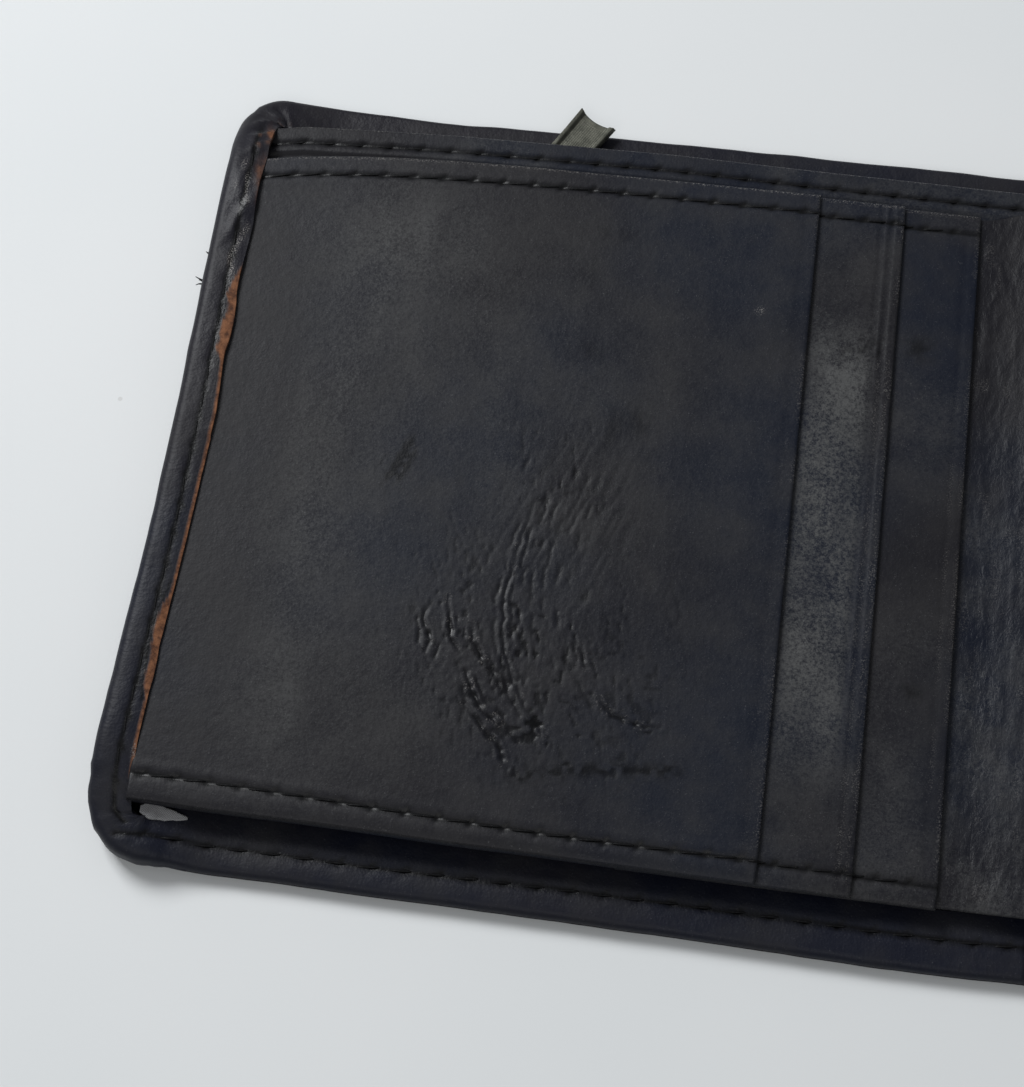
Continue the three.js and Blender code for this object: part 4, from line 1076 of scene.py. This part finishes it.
def centre_pocket():
    """The pocket with the identity window: a back, a film and a frame with an opening."""
    us, ys = samples(-45.4, 45.4, 0.9), samples(-46.6, 44.0, 0.9)
    x, y = np.meshgrid(us, ys, indexing="ij")
    grid = np.stack((x, y, CENTRE_POCKET + 0 * x), -1)
    marks = {"bloom": 0.3 * ramp(rough(x, y, 18, 81), -0.2, 0.6)}
    piece("centre_pocket_leather", sheet(grid, 0.5, relief=0.04 * rough(x, y, 8, 82)), "centre", INNER,
          ("centre_pocket",), "centre_leaf", marks)

    us, ys = samples(-41.5, 41.5, 1.5, 0.1), samples(-29.0, 26.0, 1.5, 0.1)
    x, y = np.meshgrid(us, ys, indexing="ij")
    grid = np.stack((x, y, 3.07 + 0.05 * noise(x / 22, y / 19, 83)), -1)
    piece("centre_window_film", sheet(grid, 0.14, rim=0.08), "centre", FILM, ("centre_window",),
          "centre_leaf")

    def with_hole(a, b, h0, h1):
        return np.unique(np.round(np.concatenate((samples(a, b, 0.8), h0 - 0.3 * EDGE_STEPS,
                                                  h1 + 0.3 * EDGE_STEPS)), 4))

    us, ys = with_hole(-47, 47, -39, 39), with_hole(-47.2, 44.3, -26.5, 23.5)
    x, y = np.meshgrid(us, ys, indexing="ij")
    beyond = np.maximum(np.abs(x) - 39, np.abs(y + 1.5) - 25)
    inside = (1 - np.exp(-(47 - np.abs(x)) / 6)) * (1 - np.exp(-(y + 47.2) / 5))
    inside *= 1 - np.exp(-(44.3 - y) / 5)
    grid = np.stack((x, y, 3.47 + 0.25 * inside - 0.2 * np.exp(-np.maximum(beyond, 0) / 0.6)), -1)
    middle = beyond[:-1, :-1] + beyond[1:, 1:]
    hole = (middle < 0) & (np.maximum(beyond[:-1, :-1], beyond[1:, 1:]) < 1e-6)
    relief = seam_pits(x, y - 41.8) + seam_pits(x, y + 44.6) + 0.05 * rough(x, y, 9, 84)
    relief -= 0.09 * bell(beyond - 1.8, 0.3)
    marks = {"bloom": 0.3 * ramp(rough(x, y, 16, 85), -0.2, 0.6),
             "gloss": 0.3 * np.exp(-np.maximum(beyond, 0) / 1.5),
             "wrinkle": 0.2 + 0 * x}
    piece("centre_window_frame_leather", sheet(grid, 0.56, relief=relief, hole=hole), "centre", INNER,
          ("centre_window_frame",), "centre_leaf", marks, (0, 0, 90))
    for edge, at in (("top", 41.8), ("bottom", -44.6)):
        xs = np.linspace(-45.5, 45.5, 180)
        seam = np.stack((xs, 0 * xs + at, 0 * xs + 3.47 + 0.18 + 0.25), 1)
        stitches(f"centre_frame_{edge}_stitches", "centre", seam, ("centre_seam_frame_" + edge,),
                 "centre_leaf")


# ------------------------------------------------------------------ linings and zip
LINING = 1.30                               # height of the linings' middle surface


def lining(name, leaf, a, b, z, replaced, holder, slit=None, low=-45.0, high=43.4, thick=0.18):
    us, ys = samples(a, b, 1.6, 0.1), samples(low, high, 1.6, 0.1)
    area = (b - a) * (high - low)
    if slit:
        us = np.unique(np.concatenate((us, slit[:2])))
        ys = np.unique(np.concatenate((ys, slit[2:])))
    u, y = np.meshgrid(us, ys, indexing="ij")
    hole = None
    if slit:
        cu, cy = (u[:-1, :-1] + u[1:, 1:]) / 2, (y[:-1, :-1] + y[1:, 1:]) / 2
        hole = (cu > slit[0]) & (cu < slit[1]) & (cy > slit[2]) & (cy < slit[3])
        area -= (slit[1] - slit[0]) * (slit[3] - slit[2])
    grid = np.stack((u, y, z + 0.02 * noise(u / 9, y / 9, 91)), -1)
    shape = sheet(grid, thick, rim=0.09, hole=hole)
    obj = piece(name, shape, leaf, FABRIC, replaced, holder)


def linings():
    lining("left_lining_cloth", "left", 2.2, LEFT_MID, LINING, ("left_lining", "left_fold_lining"),
           "left_outer", slit=(17.5, 84.5, 34.4, 38.6))
    lining("zip_bag_cloth", "left", 8.0, 95.0, 1.05, ("zip_pocket_bag",), "left_leaf",
           low=14.0, high=43.2, thick=0.10)
    lining("right_lining_cloth", "right", 2.2, RIGHT_MID, LINING, ("right_lining", "right_fold_lining"),
           "right_outer")
    for side, x0, x1 in (("left", CENTRE_LEFT, 0.0), ("right", 0.0, CENTRE_RIGHT)):
        lining(f"centre_{side}_lining_cloth", "centre", x0, x1, LINING,
               ("centre_lining", side + "_fold_lining"),
               side + "_inner")


def zip_closure():
    """Two tapes, each with a wound coil, and the metal slider and stops of the frame itself."""
    run, pitch = 62.4, 1.25
    for half in ("lower", "upper"):
        low, high = (np.array(c) * 1000 - (LEAF["left"][0], 0, 0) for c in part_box("zip_tape_" + half))
        lining(f"zip_{half}_tape_cloth", "left", low[0], high[0], (low[2] + high[2]) / 2,
               ("zip_tape_" + half,),
               "left_leaf", low=low[1], high=high[1], thick=high[2] - low[2])
        low, high = (np.array(c) * 1000 - (LEAF["left"][0], 0, 0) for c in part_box("zip_coil_" + half))
        turns = np.arange(0, run, 0.085)
        phase = turns / pitch * 2 * np.pi
        y = (low[1] + high[1]) / 2 + 0.5 * (high[1] - low[1]) * 0.72 * np.cos(phase)
        z = (low[2] + high[2]) / 2 + 0.5 * (high[2] - low[2]) * 0.70 * np.sin(phase)
        coil = tube(np.stack((low[0] + turns * (high[0] - low[0]) / run, y, z), 1), 0.16, 6)
        piece(f"zip_{half}_coil", coil, "left", NYLON, ("zip_coil_" + half,), "left_leaf")
    for name in ("zip_slider", "zip_stop_start", "zip_stop_end"):
        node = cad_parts[name]
        node.data.materials.clear()
        node.data.materials.append(METAL)


def zip_pull():
    """A flat tab with raised rims, a knurled middle and a hollowed end."""
    length, half = 15.0, 2.8
    ls, ws = samples(-1.4, length, 0.14, 0.3), samples(-half, half, 0.12, 0.3)
    l, w = np.meshgrid(ls, ws, indexing="ij")
    squeeze = np.where(l < 1.5, 0.62 + 0.38 * ramp(l, -1.4, 1.5), 1.0)
    end = length - 0.75 * (1 - (w / half) ** 2)
    reach = np.where(l > 5, 5 + (l - 5) * (end - 5) / (length - 5), l)
    across = w * squeeze * (1 - 0.05 * np.sin(np.pi * np.clip(l / length, 0, 1)))
    turn = np.radians(60.0)
    u = 38.6 + reach * np.cos(turn) + across * np.sin(turn)
    y = 41.4 + reach * np.sin(turn) - across * np.cos(turn)
    rim = ramp(np.abs(w), half - 0.95, half - 0.70) * ramp(np.abs(w), half - 0.02, half - 0.2)
    rim *= ramp(l, 2.2, 3.0)
    bar = ramp(np.abs(l - 3.0), 0.5, 0.25)
    knurl = np.sin((l + w) * 2 * np.pi / 0.62) * np.sin((l - w) * 2 * np.pi / 0.62)
    plain = ramp(np.abs(w), half - 0.95, half - 1.15) * ramp(l, 3.4, 3.8)
    plain *= ramp(l, length - 0.6, length - 1.0)
    relief = 0.38 * np.maximum(rim, bar * (np.abs(w) < half - 0.3)) + 0.07 * plain * knurl
    relief += 0.02 * rough(l, w, 1.2, 95)
    grid = np.stack((u, y, 2.78 + 0 * u), -1)[:, ::-1]
    shape = sheet(grid, 0.58, relief=relief[:, ::-1], rim=0.16)
    piece("zip_pull_tab", shape, "left", METAL, ("zip_pull",), "zip_pull")


# ------------------------------------------------------------------ table and light
def table_and_light():
    bpy.ops.mesh.primitive_plane_add(size=4.0, location=(0, 0, 0))
    table = bpy.context.object
    table.name = "table"
    table.data.materials.append(TABLE)
    world = bpy.data.worlds.new("room")
    world.use_nodes = True
    background = world.node_tree.nodes["Background"]
    background.inputs["Color"].default_value = (0.94, 0.97, 1.0, 1.0)
    background.inputs["Strength"].default_value = 0.25
    bpy.context.scene.world = world
    for name, place, size, power, tint in (
        ("window", (-0.60, 0.42, 0.62), 0.36, 6.9, (0.97, 0.985, 1.0)),
        ("ceiling", (-0.15, -0.95, 1.30), 0.9, 4.2, (1.0, 0.99, 0.97)),
    ):
        light = bpy.data.objects.new(name, bpy.data.lights.new(name, "AREA"))
        light.data.size = size
        light.data.energy = power
        light.data.color = tint
        forward = np.array((-0.12, 0.0, 0.0)) - np.array(place)
        forward /= np.linalg.norm(forward)
        side = np.cross(forward, (0, 0, 1))
        side /= np.linalg.norm(side)
        up = np.cross(side, forward)
        axes = np.stack((side, up, -forward), axis=1)
        light.matrix_world = Matrix([list(axes[i]) + [place[i]] for i in range(3)] + [[0, 0, 0, 1]])
        bpy.context.scene.collection.objects.link(light)


outer_leaf("left", LEFT_MID, side_z=6.80, seed=1, pockets=(6.18, 5.58, 4.98), fold_step=0.28,
           liner=(4.40, 0.85, 99, 108), liner_top=(1.9, 97, 105.5), spine_at=106.5, foot_z=2.65,
           divider_z=3.78)
left_corner_damage()
centre_half("left", CENTRE_LEFT, 0.0, seed=71, divider_z=3.78, crest_z=5.25, rise=1.9)
centre_half("right", 0.0, CENTRE_RIGHT, seed=72, divider_z=2.03, crest_z=2.64, rise=1.2)
centre_pocket()
outer_leaf("right", RIGHT_MID, side_z=4.88, seed=2, pockets=(4.28, 3.68, 3.08), fold_step=0.4,
           liner=(2.50, 0.14, 97, 107), liner_top=(1.2, 97, 107), spine_at=107.0, foot_z=2.0, divider_z=2.03)
linings()
zip_closure()
zip_pull()
table_and_light()
bpy.context.scene.view_settings.view_transform = "Standard"
